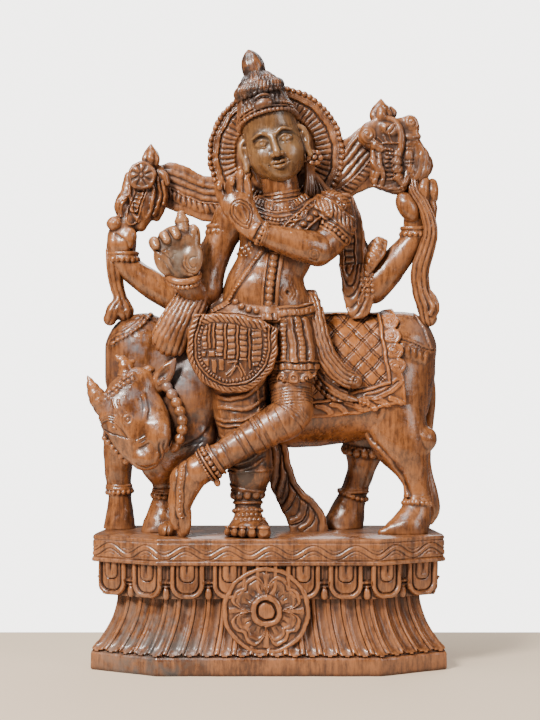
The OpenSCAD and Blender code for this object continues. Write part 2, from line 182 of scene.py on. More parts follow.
class Carving:
    """A solid held as distances to its surface on a grid, in mm and negative inside."""

    def __init__(self, low, high, step):
        self.step = step * COARSE
        self.low = np.array(low, float) - 2 * self.step
        count = np.ceil((np.array(high) - self.low) / self.step).astype(int) + 3
        self.d = np.full(count, FAR, np.float32)
        self.axis = [(self.low[i] + self.step * np.arange(count[i])).astype(np.float32) for i in range(3)]

    def window(self, low=None, high=None):
        """The part of the grid between two corners, and its X, Y and Z."""
        cut = []
        for i in range(3):
            a = 0 if low is None else max(0, int((low[i] - self.low[i]) / self.step))
            b = len(self.axis[i]) if high is None else max(a, int((high[i] - self.low[i]) / self.step) + 2)
            cut.append(slice(a, b))
        return (tuple(cut), self.axis[0][cut[0]][:, None, None],
                self.axis[1][cut[1]][None, :, None], self.axis[2][cut[2]][None, None, :])

    def put(self, win, d, blend=0.0, cut=False):
        if cut:
            self.d[win] = smax(self.d[win], -d, blend)
        else:
            self.d[win] = smin(self.d[win], d, blend)

    def limb(self, rows, blend=0.0, flat=1.0, relief=None, cut=False, steps=6, mirror=False):
        """Adds (or cuts) a limb; relief(u, angle from the front, radius) raises its surface."""
        form = Limb(rows, flat, steps)
        reach = form.p[:, 3].max() + blend + 4
        win, X, Y, Z = self.window(form.p[:, :3].min(0) - reach, form.p[:, :3].max(0) + reach)
        total = np.full(self.d[win].shape, FAR, np.float32)
        along, turn, thick = (np.zeros(total.shape, np.float32) for _ in range(3))
        base = [w.start for w in win]
        for i, (a, b) in enumerate(zip(form.p, form.p[1:])):
            r = max(a[3], b[3]) + blend + 4
            part, x, y, z = self.window(np.minimum(a, b)[:3] - r, np.maximum(a, b)[:3] + r)
            if self.d[part].size == 0:
                continue
            here = tuple(slice(p.start - s, p.stop - s) for p, s in zip(part, base))
            span = (b - a)[:3] / (1, flat, 1)
            px, py, pz = x - a[0], (y - a[1]) / flat, z - a[2]
            t = np.clip((px * span[0] + py * span[1] + pz * span[2]) / (span.dot(span) + 1e-9), 0, 1)
            qx, qy, qz = px - t * span[0], py - t * span[1], pz - t * span[2]
            rad = a[3] + t * (b[3] - a[3])
            d = np.sqrt(qx * qx + qy * qy + qz * qz) - rad
            near = d < total[here]
            if relief is not None:
                front, side = Limb.axes((b - a)[:3])
                angle = np.arctan2(qx * side[0] + qy * side[1] + qz * side[2],
                                   qx * front[0] + qy * front[1] + qz * front[2])
                along[here] = np.where(near, form.s[i] + t * (form.s[i + 1] - form.s[i]), along[here])
                turn[here] = np.where(near, angle, turn[here])
                thick[here] = np.where(near, rad, thick[here])
            total[here] = np.where(near, d, total[here])
        if relief is not None:
            total = total - np.where(total < 6, relief(along, turn, thick), 0)
        self.put(win, total, blend, cut)
        if mirror:
            other = [(-r[0],) + tuple(r[1:]) for r in rows]
            self.limb(other, blend, flat, relief, cut, steps)

    def ball(self, c, r, blend=0.0, tilt=0.0, cut=False, mirror=False):
        """An ellipsoid, turned by tilt degrees about its depth axis."""
        r = np.broadcast_to(np.array(r, float), 3)
        reach = np.array([max(r[0], r[2]), r[1], max(r[0], r[2])]) + blend + 2
        win, X, Y, Z = self.window(np.array(c) - reach, np.array(c) + reach)
        ca, sa = math.cos(math.radians(tilt)), math.sin(math.radians(tilt))
        x, z = (X - c[0]) * ca + (Z - c[2]) * sa, (Z - c[2]) * ca - (X - c[0]) * sa
        y = Y - c[1]
        k0 = np.sqrt((x / r[0]) ** 2 + (y / r[1]) ** 2 + (z / r[2]) ** 2) + 1e-6
        k1 = np.sqrt((x / r[0] ** 2) ** 2 + (y / r[1] ** 2) ** 2 + (z / r[2] ** 2) ** 2) + 1e-6
        self.put(win, k0 * (k0 - 1) / k1, blend, cut)
        if mirror:
            self.ball((-c[0], c[1], c[2]), r, blend, -tilt, cut)

    def slab(self, y_front, y_back, inside, height=None, edge=1.6, back=0.0, blend=0.0):
        """A board across Y; inside(x, z) is its outline and height(x, z) its relief."""
        win, X, Y, Z = self.window()
        x, z = by_hand(X[:, 0, :], Z[:, 0, :])
        rise = np.zeros(x.shape, np.float32) if height is None else height(x, z)
        rise = rise[:, None, :]
        faces = smax(y_front - rise - Y, Y - y_back - back * rise, edge)
        self.put(win, smax(inside(x, z)[:, None, :], faces, edge), blend)

    def emboss(self, height, y_max=None, low=None, high=None):
        """Raises the surface by height(x, z), on the front of y_max only if it is given."""
        win, X, Y, Z = self.window(low, high)
        rise = height(*by_hand(X[:, 0, :], Z[:, 0, :]))[:, None, :]
        if y_max is not None:
            rise = rise * np.clip((y_max - Y) / 5 + 0.5, 0, 1)
        self.d[win] -= rise

    def front(self, x, z):
        """Depth of the front surface at (x, z), or None off the solid."""
        i, k = (int(round((v - self.low[j]) / self.step)) for v, j in ((x, 0), (z, 2)))
        if not (0 <= i < self.d.shape[0] and 0 <= k < self.d.shape[2]):
            return None
        column = self.d[i, :, k]
        j = int(np.argmax(column < 0))
        return None if column[j] >= 0 else float(self.axis[1][j])

    def string(self, rows, pitch, radius, sink=0.2, blend=0.4, tall=1.0):
        """Beads along a line of (x, z) on the front surface."""
        p = spline(rows, 8)
        run = lengths(p)
        for s in np.arange(pitch / 2, run[-1], pitch):
            x, z = np.interp(s, run, p[:, 0]), np.interp(s, run, p[:, 1])
            y = self.front(x, z)
            if y is not None:
                self.ball((x, y + sink * radius, z), (radius, radius, radius * tall), blend)

    def wander(self, size=0.22, scale=1.0):
        """The unevenness of hand work."""
        win, X, Y, Z = self.window()
        k = 0.42 / scale
        self.d += size * (np.sin(k * X + 1.3 * np.sin(k * 0.6 * Z)) * np.sin(k * 0.9 * Z + 0.7)
                          + 0.6 * np.sin(k * 1.7 * Y + k * 1.1 * Z))


# ---- meshes and pieces -----------------------------------------------------------------

def soften(d, step, reach=2.6):
    """The field blurred over a few millimetres, so that small relief is gone from it."""
    half = max(1, int(round(reach / step)))
    for axis in (0, 1, 2) * 2:
        pad = [(0, 0)] * 3
        pad[axis] = (half + 1, half)
        total = np.cumsum(np.pad(d, pad, mode="edge"), axis=axis, dtype=np.float64)
        upper = [slice(None)] * 3
        lower = [slice(None)] * 3
        upper[axis] = slice(2 * half + 1, None)
        lower[axis] = slice(0, -(2 * half + 1))
        d = ((total[tuple(upper)] - total[tuple(lower)]) / (2 * half + 1)).astype(np.float32)
    return d


def sample(field, at):
    """The field at fractional grid places, by trilinear weights."""
    limit = np.array(field.shape) - 2
    base = np.clip(np.floor(at).astype(int), 0, limit)
    f = np.clip(at - base, 0, 1)
    value = np.zeros(len(at))
    for dx in (0, 1):
        for dy in (0, 1):
            for dz in (0, 1):
                weight = (np.abs(1 - dx - f[:, 0]) * np.abs(1 - dy - f[:, 1]) * np.abs(1 - dz - f[:, 2]))
                value += weight * field[base[:, 0] + dx, base[:, 1] + dy, base[:, 2] + dz]
    return value


def make_piece(name, v, faces, lift, material, nodes, smooth_angle=math.radians(70)):
    """A Blender object from vertices in mm, standing for CAD nodes."""
    name = name + "_carving"
    mesh = bpy.data.meshes.new(name)
    loops = np.concatenate([f.ravel() for f in faces]).astype(np.int32)
    sizes = np.concatenate([np.full(len(f), f.shape[1]) for f in faces])
    starts = np.concatenate([[0], np.cumsum(sizes)[:-1]]).astype(np.int32)
    mesh.vertices.add(len(v))
    mesh.loops.add(len(loops))
    mesh.polygons.add(len(sizes))
    mesh.vertices.foreach_set("co", (v * MM).astype(np.float32).ravel())
    mesh.loops.foreach_set("vertex_index", loops)
    mesh.polygons.foreach_set("loop_start", starts)
    mesh.update(calc_edges=True)
    mesh.validate()
    layer = mesh.attributes.new("relief", "FLOAT", "POINT")
    layer.data.foreach_set("value", lift.astype(np.float32))
    mesh.shade_smooth()
    mesh.set_sharp_from_angle(angle=smooth_angle)
    piece = bpy.data.objects.new(name, mesh)
    bpy.context.scene.collection.objects.link(piece)
    mesh.materials.append(material)
    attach(piece, "root")
    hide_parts(*nodes)
    return piece


def finish(name, form, material, nodes=None, place=None, fine=0.05):
    """Turns a carving into a piece; place(vertices) moves it out of its own frame."""
    band = 3 * form.step
    grid = openvdb.FloatGrid(band)
    grid.copyFromArray(np.clip(form.d, -band, band).astype(np.float32))
    v, tris, quads = grid.convertToPolygons(0.0, fine)
    lift = sample(soften(np.clip(form.d, -6, 6), form.step), v)
    v = form.low + v.astype(float) * form.step
    if place is not None:
        v = place(v)
    faces = [f.astype(np.int64) for f in (tris, quads) if len(f)]
    return make_piece(name, v, faces, lift, material, nodes or [name])


def around(node, step, grow=9.0, **kwargs):
    """An empty carving with room for a node and its relief."""
    low, high = box_mm(node)
    return Carving(low - grow, high + grow, step)


# ---- camera, light and floor -----------------------------------------------------------

def camera_and_light():
    cam = bpy.data.cameras.new("camera")
    cam.sensor_width = 36.0
    cam.lens = 90.15
    eye = bpy.data.objects.new("camera", cam)
    eye.location = (0.0015, -1.8, 0.340)
    eye.rotation_euler = (math.radians(90 - 1.11), 0, 0)
    bpy.context.scene.collection.objects.link(eye)
    bpy.context.scene.camera = eye

    def area(name, where, aim, size, power, tint):
        lamp = bpy.data.lights.new(name, "AREA")
        lamp.shape = "RECTANGLE"
        lamp.size, lamp.size_y = size
        lamp.energy = power
        lamp.color = tint
        ob = bpy.data.objects.new(name, lamp)
        ob.location = where
        direction = np.array(aim) - np.array(where)
        ob.rotation_euler = (math.atan2(np.hypot(direction[0], direction[1]), -direction[2]), 0,
                             math.atan2(direction[0], -direction[1]) + math.pi)
        bpy.context.scene.collection.objects.link(ob)

    area("key", (-1.0, -1.4, 1.5), (0, 0, 0.30), (0.5, 0.4), 86, (1.0, 0.96, 0.91))
    area("fill", (1.5, -1.3, 0.9), (0, 0, 0.28), (0.5, 1.1), 13, (1.0, 0.97, 0.94))
    area("back", (0.4, 1.5, 1.5), (0, 0, 0.35), (1.4, 0.8), 14, (1.0, 1.0, 1.0))
    area("sky", (-0.35, -0.25, 1.7), (0, 0, 0.30), (0.7, 0.5), 16, (0.94, 0.97, 1.0))
    world = bpy.data.worlds.new("studio")
    world.use_nodes = True
    nodes, links = world.node_tree.nodes, world.node_tree.links
    soft = nodes["Background"]
    soft.inputs["Color"].default_value = (0.90, 0.87, 0.84, 1)
    soft.inputs["Strength"].default_value = 0.17
    paper = nodes.new("ShaderNodeBackground")
    paper.inputs["Color"].default_value = (1.0, 0.975, 0.945, 1)
    paper.inputs["Strength"].default_value = 4.6
    seen = nodes.new("ShaderNodeLightPath")
    blend = nodes.new("ShaderNodeMixShader")
    links.new(seen.outputs["Is Camera Ray"], blend.inputs[0])
    links.new(soft.outputs[0], blend.inputs[1])
    links.new(paper.outputs[0], blend.inputs[2])
    links.new(blend.outputs[0], nodes["World Output"].inputs["Surface"])
    bpy.context.scene.world = world


def floor():
    front, back, side = -0.60, 0.19, 0.95
    mesh = bpy.data.meshes.new("floor")
    mesh.from_pydata([(-side, front, 0), (side, front, 0), (side, back, 0), (-side, back, 0)], [],
                     [(0, 1, 2, 3)])
    ob = bpy.data.objects.new("floor", mesh)
    bpy.context.scene.collection.objects.link(ob)
    pale = bpy.data.materials.new("pale_floor")
    pale.use_nodes = True
    shader = pale.node_tree.nodes["Principled BSDF"]
    shader.inputs["Base Color"].default_value = (0.60, 0.47, 0.34, 1)
    shader.inputs["Roughness"].default_value = 0.75
    shader.inputs["Emission Color"].default_value = (1.0, 0.80, 0.60, 1)
    shader.inputs["Emission Strength"].default_value = 0.30
    mesh.materials.append(pale)


camera_and_light()
floor()


# ---- wood ------------------------------------------------------------------------------

def wood(name, pale, mid, dark, stains_and_painted_light=(), grain_axis=2, gloss=0.36):
    """Oiled hardwood: grain, pores, dark polish in the cuts, painted shade in hollows and where parts meet,
    worn ridges, and tinted patches at (x, y, z, radius) mm that are real discolouring, painted shadows and a
    painted highlight.
    """
    mat = bpy.data.materials.new(name)
    mat.use_nodes = True
    nt = mat.node_tree
    shader = nt.nodes["Principled BSDF"]

    def node(kind, **values):
        n = nt.nodes.new(kind)
        for key, value in values.items():
            if key in n.inputs:
                n.inputs[key].default_value = value
            else:
                setattr(n, key, value)
        return n

    def math_node(op, a, b=None):
        n = node("ShaderNodeMath", operation=op, use_clamp=False)
        for socket, value in zip(n.inputs, (a, b)):
            if value is None:
                continue
            if isinstance(value, (int, float)):
                socket.default_value = value
            else:
                nt.links.new(value, socket)
        return n.outputs[0]

    def ramp(value, low, high, to_low=0.0, to_high=1.0):
        n = node("ShaderNodeMapRange")
        n.inputs["From Min"].default_value = low
        n.inputs["From Max"].default_value = high
        n.inputs["To Min"].default_value = to_low
        n.inputs["To Max"].default_value = to_high
        nt.links.new(value, n.inputs["Value"])
        return n.outputs["Result"]

    def mix(factor, a, b, blend="MIX"):
        n = node("ShaderNodeMix", data_type="RGBA", blend_type=blend)
        for socket, value in ((n.inputs["Factor"], factor), (n.inputs[6], a), (n.inputs[7], b)):
            if isinstance(value, tuple):
                socket.default_value = value + (1,)
            elif isinstance(value, (int, float)):
                socket.default_value = value
            else:
                nt.links.new(value, socket)
        return n.outputs[2]

    place = node("ShaderNodeTexCoord").outputs["Object"]

    def noise(scale, stretch=(1, 1, 1), detail=3.0, rough=0.55):
        mapping = node("ShaderNodeMapping")
        mapping.inputs["Scale"].default_value = stretch
        nt.links.new(place, mapping.inputs["Vector"])
        n = node("ShaderNodeTexNoise")
        n.inputs["Scale"].default_value = scale
        n.inputs["Detail"].default_value = detail
        n.inputs["Roughness"].default_value = rough
        nt.links.new(mapping.outputs["Vector"], n.inputs["Vector"])
        return n.outputs["Fac"]

    long = [1.0, 1.0, 1.0]
    long[grain_axis] = 0.07
    streaks = noise(420, tuple(long), 4.0, 0.6)
    pores = noise(1500, tuple(0.12 if i == grain_axis else 1.0 for i in range(3)), 2.0, 0.5)
    long[grain_axis] = 0.30
    flecks = noise(190, tuple(long), 4.0, 0.65)
    patches = noise(16, detail=3.0)
    blotches = noise(55, detail=4.0, rough=0.62)

    tone = math_node("ADD", math_node("MULTIPLY", streaks, 0.80), math_node("MULTIPLY", flecks, 0.95))
    tone = math_node("ADD", tone, math_node("MULTIPLY", patches, 0.55))
    tone = math_node("ADD", tone, math_node("MULTIPLY", blotches, 0.65))
    colour = mix(ramp(tone, 1.30, 1.64), mid, pale)
    colour = mix(ramp(pores, 0.60, 0.72, 0.0, 0.55), colour, tuple(c * 0.42 for c in mid))

    cavity = node("ShaderNodeAttribute", attribute_name="relief").outputs["Fac"]
    # Painted shade: ambient occlusion darkens the colour towards dark in hollows and where parts meet; the
    # cuts add the dark polish held in the carved grooves.
    hollow = node("ShaderNodeAmbientOcclusion", samples=6)
    hollow.inputs["Distance"].default_value = 0.020
    shade = ramp(hollow.outputs["AO"], 0.30, 0.92, 1.0, 0.0)
    cuts = ramp(cavity, -0.05, -0.55, 0.0, 1.0)
    grime_and_painted_shade = math_node("MINIMUM", math_node("ADD", math_node("MULTIPLY", shade, 0.90),
                                          math_node("MULTIPLY", cuts, 0.85)), 1.0)
    colour = mix(math_node("MULTIPLY", grime_and_painted_shade, 0.86), colour, dark)
    worn = math_node("MULTIPLY", ramp(cavity, 0.10, 0.70), 0.26)
    colour = mix(worn, colour, tuple(min(1, c * 1.45 + 0.008) for c in pale))

    geometry = node("ShaderNodeNewGeometry")
    # Tinted patches from the list, faded out over their radius: real discolouring, painted shadows and a
    # painted highlight.
    for x, y, z, radius, strength, patch_colour in stains_and_painted_light:
        spot = node("ShaderNodeVectorMath", operation="DISTANCE")
        nt.links.new(geometry.outputs["Position"], spot.inputs[0])
        spot.inputs[1].default_value = (x * MM, y * MM, z * MM)
        fade = ramp(spot.outputs["Value"], 0.35 * radius * MM, radius * MM, 1.0, 0.0)
        rough_edge = ramp(blotches, 0.40, 0.62)
        colour = mix(math_node("MULTIPLY", math_node("MULTIPLY", fade, rough_edge), strength), colour, patch_colour)

    nt.links.new(colour, shader.inputs["Base Color"])
    rough = math_node("ADD", ramp(blotches, 0.35, 0.65, gloss - 0.10, gloss + 0.16),
                      math_node("MULTIPLY", grime_and_painted_shade, 0.25))
    nt.links.new(rough, shader.inputs["Roughness"])
    shader.inputs["Specular IOR Level"].default_value = 0.5
    nt.links.new(ramp(grime_and_painted_shade, 0.1, 0.9, 0.65, 0.05), shader.inputs["Coat Weight"])
    shader.inputs["Coat Roughness"].default_value = 0.21

    facets = node("ShaderNodeTexVoronoi")
    facets.inputs["Scale"].default_value = 210
    nt.links.new(place, facets.inputs["Vector"])
    height = math_node("ADD", math_node("MULTIPLY", streaks, 0.5), math_node("MULTIPLY", pores, 0.35))
    height = math_node("ADD", height, math_node("MULTIPLY", facets.outputs["Distance"], 0.55))
    height = math_node("ADD", height, math_node("MULTIPLY", flecks, 0.6))
    bump = node("ShaderNodeBump")
    bump.inputs["Strength"].default_value = 0.45
    bump.inputs["Distance"].default_value = 0.0009
    nt.links.new(height, bump.inputs["Height"])
    nt.links.new(bump.outputs["Normal"], shader.inputs["Normal"])
    return mat


PALE = (0.315, 0.112, 0.032)
MID = (0.098, 0.031, 0.0085)
DARK = (0.022, 0.0065, 0.002)
INK = (0.018, 0.018, 0.022)
GREY = (0.150, 0.130, 0.110)
# A dark brown for painted shadows, and for a stain on the cow's collar beads.
STAIN_AND_SHADOW_BROWN = (0.030, 0.012, 0.006)
SLATE = (0.120, 0.115, 0.125)

plinth_wood = wood("plinth_wood", PALE, MID, DARK,
                   stains_and_painted_light=((-120, -60, 22, 70, 0.75, GREY), (-110, -62, 6, 60, 0.8, INK)))
# The first patch, in the throat hollow between the neck and the crossed foot, is painted shadow; the dark
# brown one at the collar is a stain on its beads.
cow_wood = wood("cow_wood", PALE, MID, DARK,
                stains_and_painted_light=((-76, -26, 212, 24, 1.0, INK), (-68, -34, 236, 24, 1.0, INK),
                        (-60, -34, 256, 22, 0.9, INK), (-84, -36, 292, 28, 1.0, SLATE),
                        (-126, -52, 268, 22, 0.9, SLATE), (-104, -52, 226, 15, 0.6, INK),
                        (-158, -40, 240, 14, 0.8, INK), (-150, -45, 262, 16, 0.6, SLATE),
                        (-108, -16, 143, 15, 1.0, INK), (-122, -14, 322, 28, 0.9, SLATE),
                        (-146, -8, 296, 26, 0.7, INK), (-86, -44, 246, 26, 0.6, STAIN_AND_SHADOW_BROWN),
                        (150, 0, 330, 22, 0.4, SLATE)), gloss=0.26)
skin_wood = wood("skin_wood", PALE, MID, DARK, gloss=0.25)
# Painted shadow: the dark brown patches on the lower standing leg and between the legs under the crossed
# shin; those on the crown and by the rear hands only darken the wood there.
dress_wood = wood("dress_wood", PALE, MID, DARK,
                  stains_and_painted_light=((-20, -38, 195, 46, 1.3, STAIN_AND_SHADOW_BROWN), (24, -14, 165, 50, 1.0, STAIN_AND_SHADOW_BROWN),
                          (-2, -30, 584, 62, 1.5, STAIN_AND_SHADOW_BROWN), (-140, 0, 460, 60, 0.9, STAIN_AND_SHADOW_BROWN),
                          (130, 0, 500, 60, 0.7, STAIN_AND_SHADOW_BROWN)))
saddle_wood = wood("saddle_wood", (0.400, 0.130, 0.026), (0.200, 0.060, 0.012), DARK)
face_wood = wood("face_wood", (0.270, 0.120, 0.040), (0.125, 0.055, 0.018), DARK, gloss=0.26,
                 stains_and_painted_light=((14, -50, 525, 40, 0.35, (0.150, 0.100, 0.045)),))
# The pale grey patch on the front palm is partly a grey stain and partly a painted highlight.
hand_wood = wood("hand_wood", (0.330, 0.140, 0.055), (0.150, 0.060, 0.022), DARK, gloss=0.26,
                 stains_and_painted_light=((-84, -62, 402, 30, 0.7, (0.210, 0.160, 0.115)),))


# ---- plinth ----------------------------------------------------------------------------

PLINTH_HIGH = box_mm("plinth_slab")[1]
HALF_W, HALF_D = PLINTH_HIGH[0], PLINTH_HIGH[1]
STAGE_Z = box_mm("stage_slab")[1][2]
ROSETTE_LOW, ROSETTE_HIGH = box_mm("rosette")
ROSETTE_R = (ROSETTE_HIGH[0] - ROSETTE_LOW[0]) / 2
ROSETTE_X = (ROSETTE_HIGH[0] + ROSETTE_LOW[0]) / 2
ROSETTE_Z = 63.5


def footprint(inset):
    """The plinth's plan, as the CAD draws it, starting at the middle of the front."""
    x, y = HALF_W - inset, HALF_D - inset * 0.45
    return np.array([(0, -y), (x * 0.62, -y), (x, -y * 0.42), (x, -y * 0.2), (x * 0.93, y),
                     (-x * 0.93, y), (-x, -y * 0.2), (-x, -y * 0.42), (-x * 0.62, -y), (0, -y)])


def wall(name, inset, relief, step=0.9, rise=1.2):
    """A course of the plinth: inset(t) draws it in and relief(u, z) raises its face."""
    low, high = box_mm(name)
    z0, z1 = low[2], high[2]
    step = step * COARSE
    base = footprint(0)
    run = lengths(base)
    s = np.linspace(0, run[-1], int(run[-1] / step), endpoint=False)
    levels = np.linspace(0, 1, max(8, int((z1 - z0) / (rise * COARSE))))
    edge = np.searchsorted(run, s, side="right") - 1
    t = (s - run[edge]) / (run[edge + 1] - run[edge])
    along = base[edge + 1] - base[edge]
    normal = np.stack([along[:, 1], -along[:, 0]], 1)
    normal /= np.linalg.norm(normal, axis=1)[:, None]
    for _ in range(3):
        normal = normal + np.roll(normal, 1, 0) + np.roll(normal, -1, 0)
        normal /= np.linalg.norm(normal, axis=1)[:, None]
    u = np.where(s > run[-1] / 2, s - run[-1], s)
    rings = []
    field = []
    for level in levels:
        foot = footprint(inset(level))
        p = foot[edge] + (foot[edge + 1] - foot[edge]) * t[:, None]
        z = z0 + (z1 - z0) * level
        field.append(relief(u, np.full_like(u, z)))
        p = p + normal * field[-1][:, None]
        rings.append(np.column_stack([p, np.full(len(p), z)]))
    for ring, z in ((rings[-1], z1), (rings[0], z0)):
        ring[:, 2] = z
    n, m = len(s), len(rings)
    v = np.vstack(rings + [[[0, 0, z0], [0, 0, z1]]])
    i = np.arange(n)
    j = (i + 1) % n
    quads = np.vstack([np.column_stack([k * n + i, k * n + j, (k + 1) * n + j, (k + 1) * n + i])
                       for k in range(m - 1)])
    caps = np.vstack([np.column_stack([j, i, np.full(n, n * m)]),
                      np.column_stack([(m - 1) * n + i, (m - 1) * n + j, np.full(n, n * m + 1)])])
    field = np.array(field)
    mean = sum(np.roll(field, k, 1) for k in range(-4, 5)) / 9
    lift = np.append((field - mean).ravel(), (0, 0))
    return make_piece(name, v, [caps, quads], lift, plinth_wood, [name], math.radians(50))


def uneven(u, z, size=0.35):
    return size * (np.sin(u * 0.11 + 0.4 * np.sin(z * 0.3)) + 0.6 * np.sin(u * 0.37 + z * 0.21 + 1.0))


def soft_edges(z, z0, z1, r=1.6):
    """Rounds the upper and lower arris of a course."""
    gap = np.minimum(z - z0, z1 - z)
    return -r * np.clip(1 - gap / r, 0, 1) ** 2


def plinth():
    z0, z1 = 0.0, box_mm("plinth_slab")[1][2]
    wall("plinth_slab", lambda t: 0.6, lambda u, z: uneven(u, z, 0.28) - 0.2 + soft_edges(z, z0, z1, 1.4),
         1.5, 1.5)

    f0 = box_mm("petal_flare")[0][2]
    pitch = 17.2

    def petals(u, z):
        a = u / pitch - np.floor(u / pitch) - 0.5          # 0 in the middle of a petal
        flute = -1.9 * np.clip(1 - (a / 0.30) ** 2, 0, 1)
        rib = ridge((np.abs(a) - 0.5) * pitch, 2.6, 1.1)
        lines = groove((np.abs(a) - 0.335) * pitch, 0.55, 0.9)
        lip = f0 + 1.2 + 3.4 * (1 - np.sqrt(np.clip(1 - (2 * a) ** 2, 0, 1)))
        body = flute * np.clip((z - lip - 1.0) / 6, 0, 1) + rib + lines
        body = body + 1.2 * np.exp(-((z - lip - 1.5) / 2.0) ** 2)
        return np.where(z < lip, -2.6, body) + uneven(u, z, 0.2)

    wall("petal_flare", lambda t: 1 + 27 * (1 - (1 - t) ** 1.8), petals, 0.85, 1.3)

    l0, l1 = box_mm("lappet_frieze")[0][2], box_mm("lappet_frieze")[1][2]
    lappet_pitch = 44.0

    def cup(a, z, half, bottom):
        """Distance to a tongue of the given half-width that hangs to bottom."""
        r = 0.8 * half
        qx, qz = np.abs(a) - (half - r), (bottom + r) - z
        return np.hypot(np.maximum(qx, 0), np.maximum(qz, 0)) + np.minimum(np.maximum(qx, qz), 0) - r

    def lappets(u, z):
        x = np.abs(u - ROSETTE_X)
        a = (x - 38) - lappet_pitch * np.round((x - 38) / lappet_pitch)
        outer, inner, tongue = cup(a, z, 17.6, l0 + 0.5), cup(a, z, 12.0, l0 + 5.5), cup(a, z, 7.4, l0 + 17)
        d = np.where(outer < 0, 0.4, -4.2)
        d = d + ridge(outer + 2.4, 2.6, 2.2)
        d = d + np.where(inner < 0, 0.6, 0) + groove(inner, 0.8, 1.6)
        d = d + np.where(tongue < 0, 1.7, 0) + groove(tongue, 0.7, 1.3)
        d = d + groove(a, 0.7, 1.4) * within(z, l0 + 24, l1 + 9, 4) + ridge(tongue + 3.5, 1.6, 0.5)
        b = np.abs(np.abs(a) - lappet_pitch / 2)           # 0 in the middle of a pilaster
        post = np.where(b < 4.4, 2.2, 0) * (z > l0 + 15) + ridge(b - 2.6, 1.5, 1.0) * (z > l0 + 19)
        bands = (ridge(z - l0 - 16.5, 1.7, 3.4) + ridge(z - l0 - 12.8, 1.7, 3.4)) * (b < 4.8)
        drop = ridge(np.hypot(b * 1.25, (z - l0 - 5.5) * 0.75), 5.2, 4.4)
        return np.where(np.abs(a) > 17.2, d + post + bands + drop, d) + uneven(u, z, 0.2)

    wall("lappet_frieze", lambda t: 11.0, lappets, 0.8, 0.85)

    t0, t1 = box_mm("stage_slab")[0][2], box_mm("stage_slab")[1][2]
    wave = 42.0

    def vine(u, z):
        c = t0 + 12.6 + 4.4 * np.sin(2 * math.pi * (u + 8) / wave)
        slope = 1 / np.sqrt(1 + (4.4 * 2 * math.pi / wave * np.cos(2 * math.pi * (u + 8) / wave)) ** 2)
        band = (z - c) * slope
        d = groove(band - 2.6, 0.7, 0.95) + groove(band + 2.6, 0.7, 0.95) + ridge(band, 2.4, 0.4)
        a = (u + 8) / wave - np.floor((u + 8) / wave)
        for centre, sign in ((0.25, -1), (0.75, 1)):
            off = (a - centre) * wave
            arc = t0 + 12.6 + sign * 3.6 - sign * 1.9 * np.cos(off * 0.22)
            d = d + groove(z - arc, 0.6, 0.9) * within(off, -7.5, 7.5, 2)
        bead = ridge(z - t0 - 2.3, 2.3, 1.3)
        rule = groove(z - t0 - 4.9, 0.6, 0.9) + groove(z - t1 + 4.2, 0.6, 1.1)
        edge = soft_edges(z, t0, t1, 1.2)
        return d * within(z, t0 + 5, t1 - 4.5, 0.6) + bead + rule + edge + uneven(u, z, 0.18) - 0.3

    wall("stage_slab", lambda t: 3.0, vine, 0.85, 0.75)


def rosette():
    g = around("rosette", 0.62, 3)
    front = ROSETTE_LOW[1] + 3.2

    def polar(x, z):
        return np.hypot(x - ROSETTE_X, z - ROSETTE_Z), np.arctan2(z - ROSETTE_Z, x - ROSETTE_X)

    def height(x, z):
        r, th = polar(x, z)
        a = np.mod(th, QUARTER) - QUARTER / 2               # 0 in the middle of a diagonal petal
        lobe = 36.0 - 4.6 * np.exp(-(a / 0.14) ** 2) - 26 * np.clip((np.abs(a) - 0.46) / 0.36, 0, 1) ** 2
        petal = r - lobe
        h = np.where(petal < 0, 1.2, 0) + ridge(petal + 1.6, 1.9, 1.1) + groove(petal, 0.7, 0.8)
        h = h + groove(petal + 4.6, 0.75, 1.3)
        h = h - 1.5 * within(petal, -19, -6.5, 3) * within(r, 15, 40, 3)
        rays = np.maximum(0, np.cos(a * 26)) ** 3
        h = h - 1.2 * rays * within(r, 16, 25, 2.5) * (np.abs(a) < 0.6)
        b = np.minimum(np.mod(th, QUARTER), QUARTER - np.mod(th, QUARTER)) * r
        h = h + ridge(b, 1.1 + 0.10 * np.clip(r - 15, 0, 30), 1.8) * within(r, 14, 37, 1)
        rim = ridge(r - 40.4, 2.4, 2.1) + groove(r - 37.6, 0.7, 1.0)
        ring = np.where(r < 15.5, 2.0, 0) + ridge(r - 12.6, 2.7, 1.8) + groove(r - 9.2, 0.9, 2.4)
        button = np.where(r < 8.6, ridge(r, 8.8, 1.9), 0)
        return 0.72 * (h * (r > 15.2) * (r < 38.2) + rim) + ring + button

    g.slab(front, ROSETTE_HIGH[1], lambda x, z: polar(x, z)[0] - ROSETTE_R + 0.4, height, edge=1.2)
    win, X, Y, Z = g.window()
    g.d = np.maximum(g.d, Z - box_mm("lappet_frieze")[1][2] + 0.2)
    g.wander(0.12)
    finish("rosette", g, plinth_wood)


plinth()
rosette()

# ---- cow -------------------------------------------------------------------------------

def station(rows, z, flat=1.0):
    """Distance along a limb that runs downward at which it passes height z."""
    form = Limb(rows, flat)
    return float(np.interp(-z, -form.p[:, 2], form.s)), float(np.interp(-z, -form.p[:, 2], form.p[:, 3]))


def hoop(cx, cy, cz, radius, r, deep=1.0, tip=0.0, count=28):
    """Stations of a closed ring about the vertical, tip higher at the front."""
    rows = []
    for k in range(count + 2):
        a = 2 * math.pi * k / count
        rows.append((cx + radius * math.sin(a), cy - deep * radius * math.cos(a),
                     cz + tip * (0.5 + 0.5 * math.cos(a)) ** 1.5, r))
    return rows


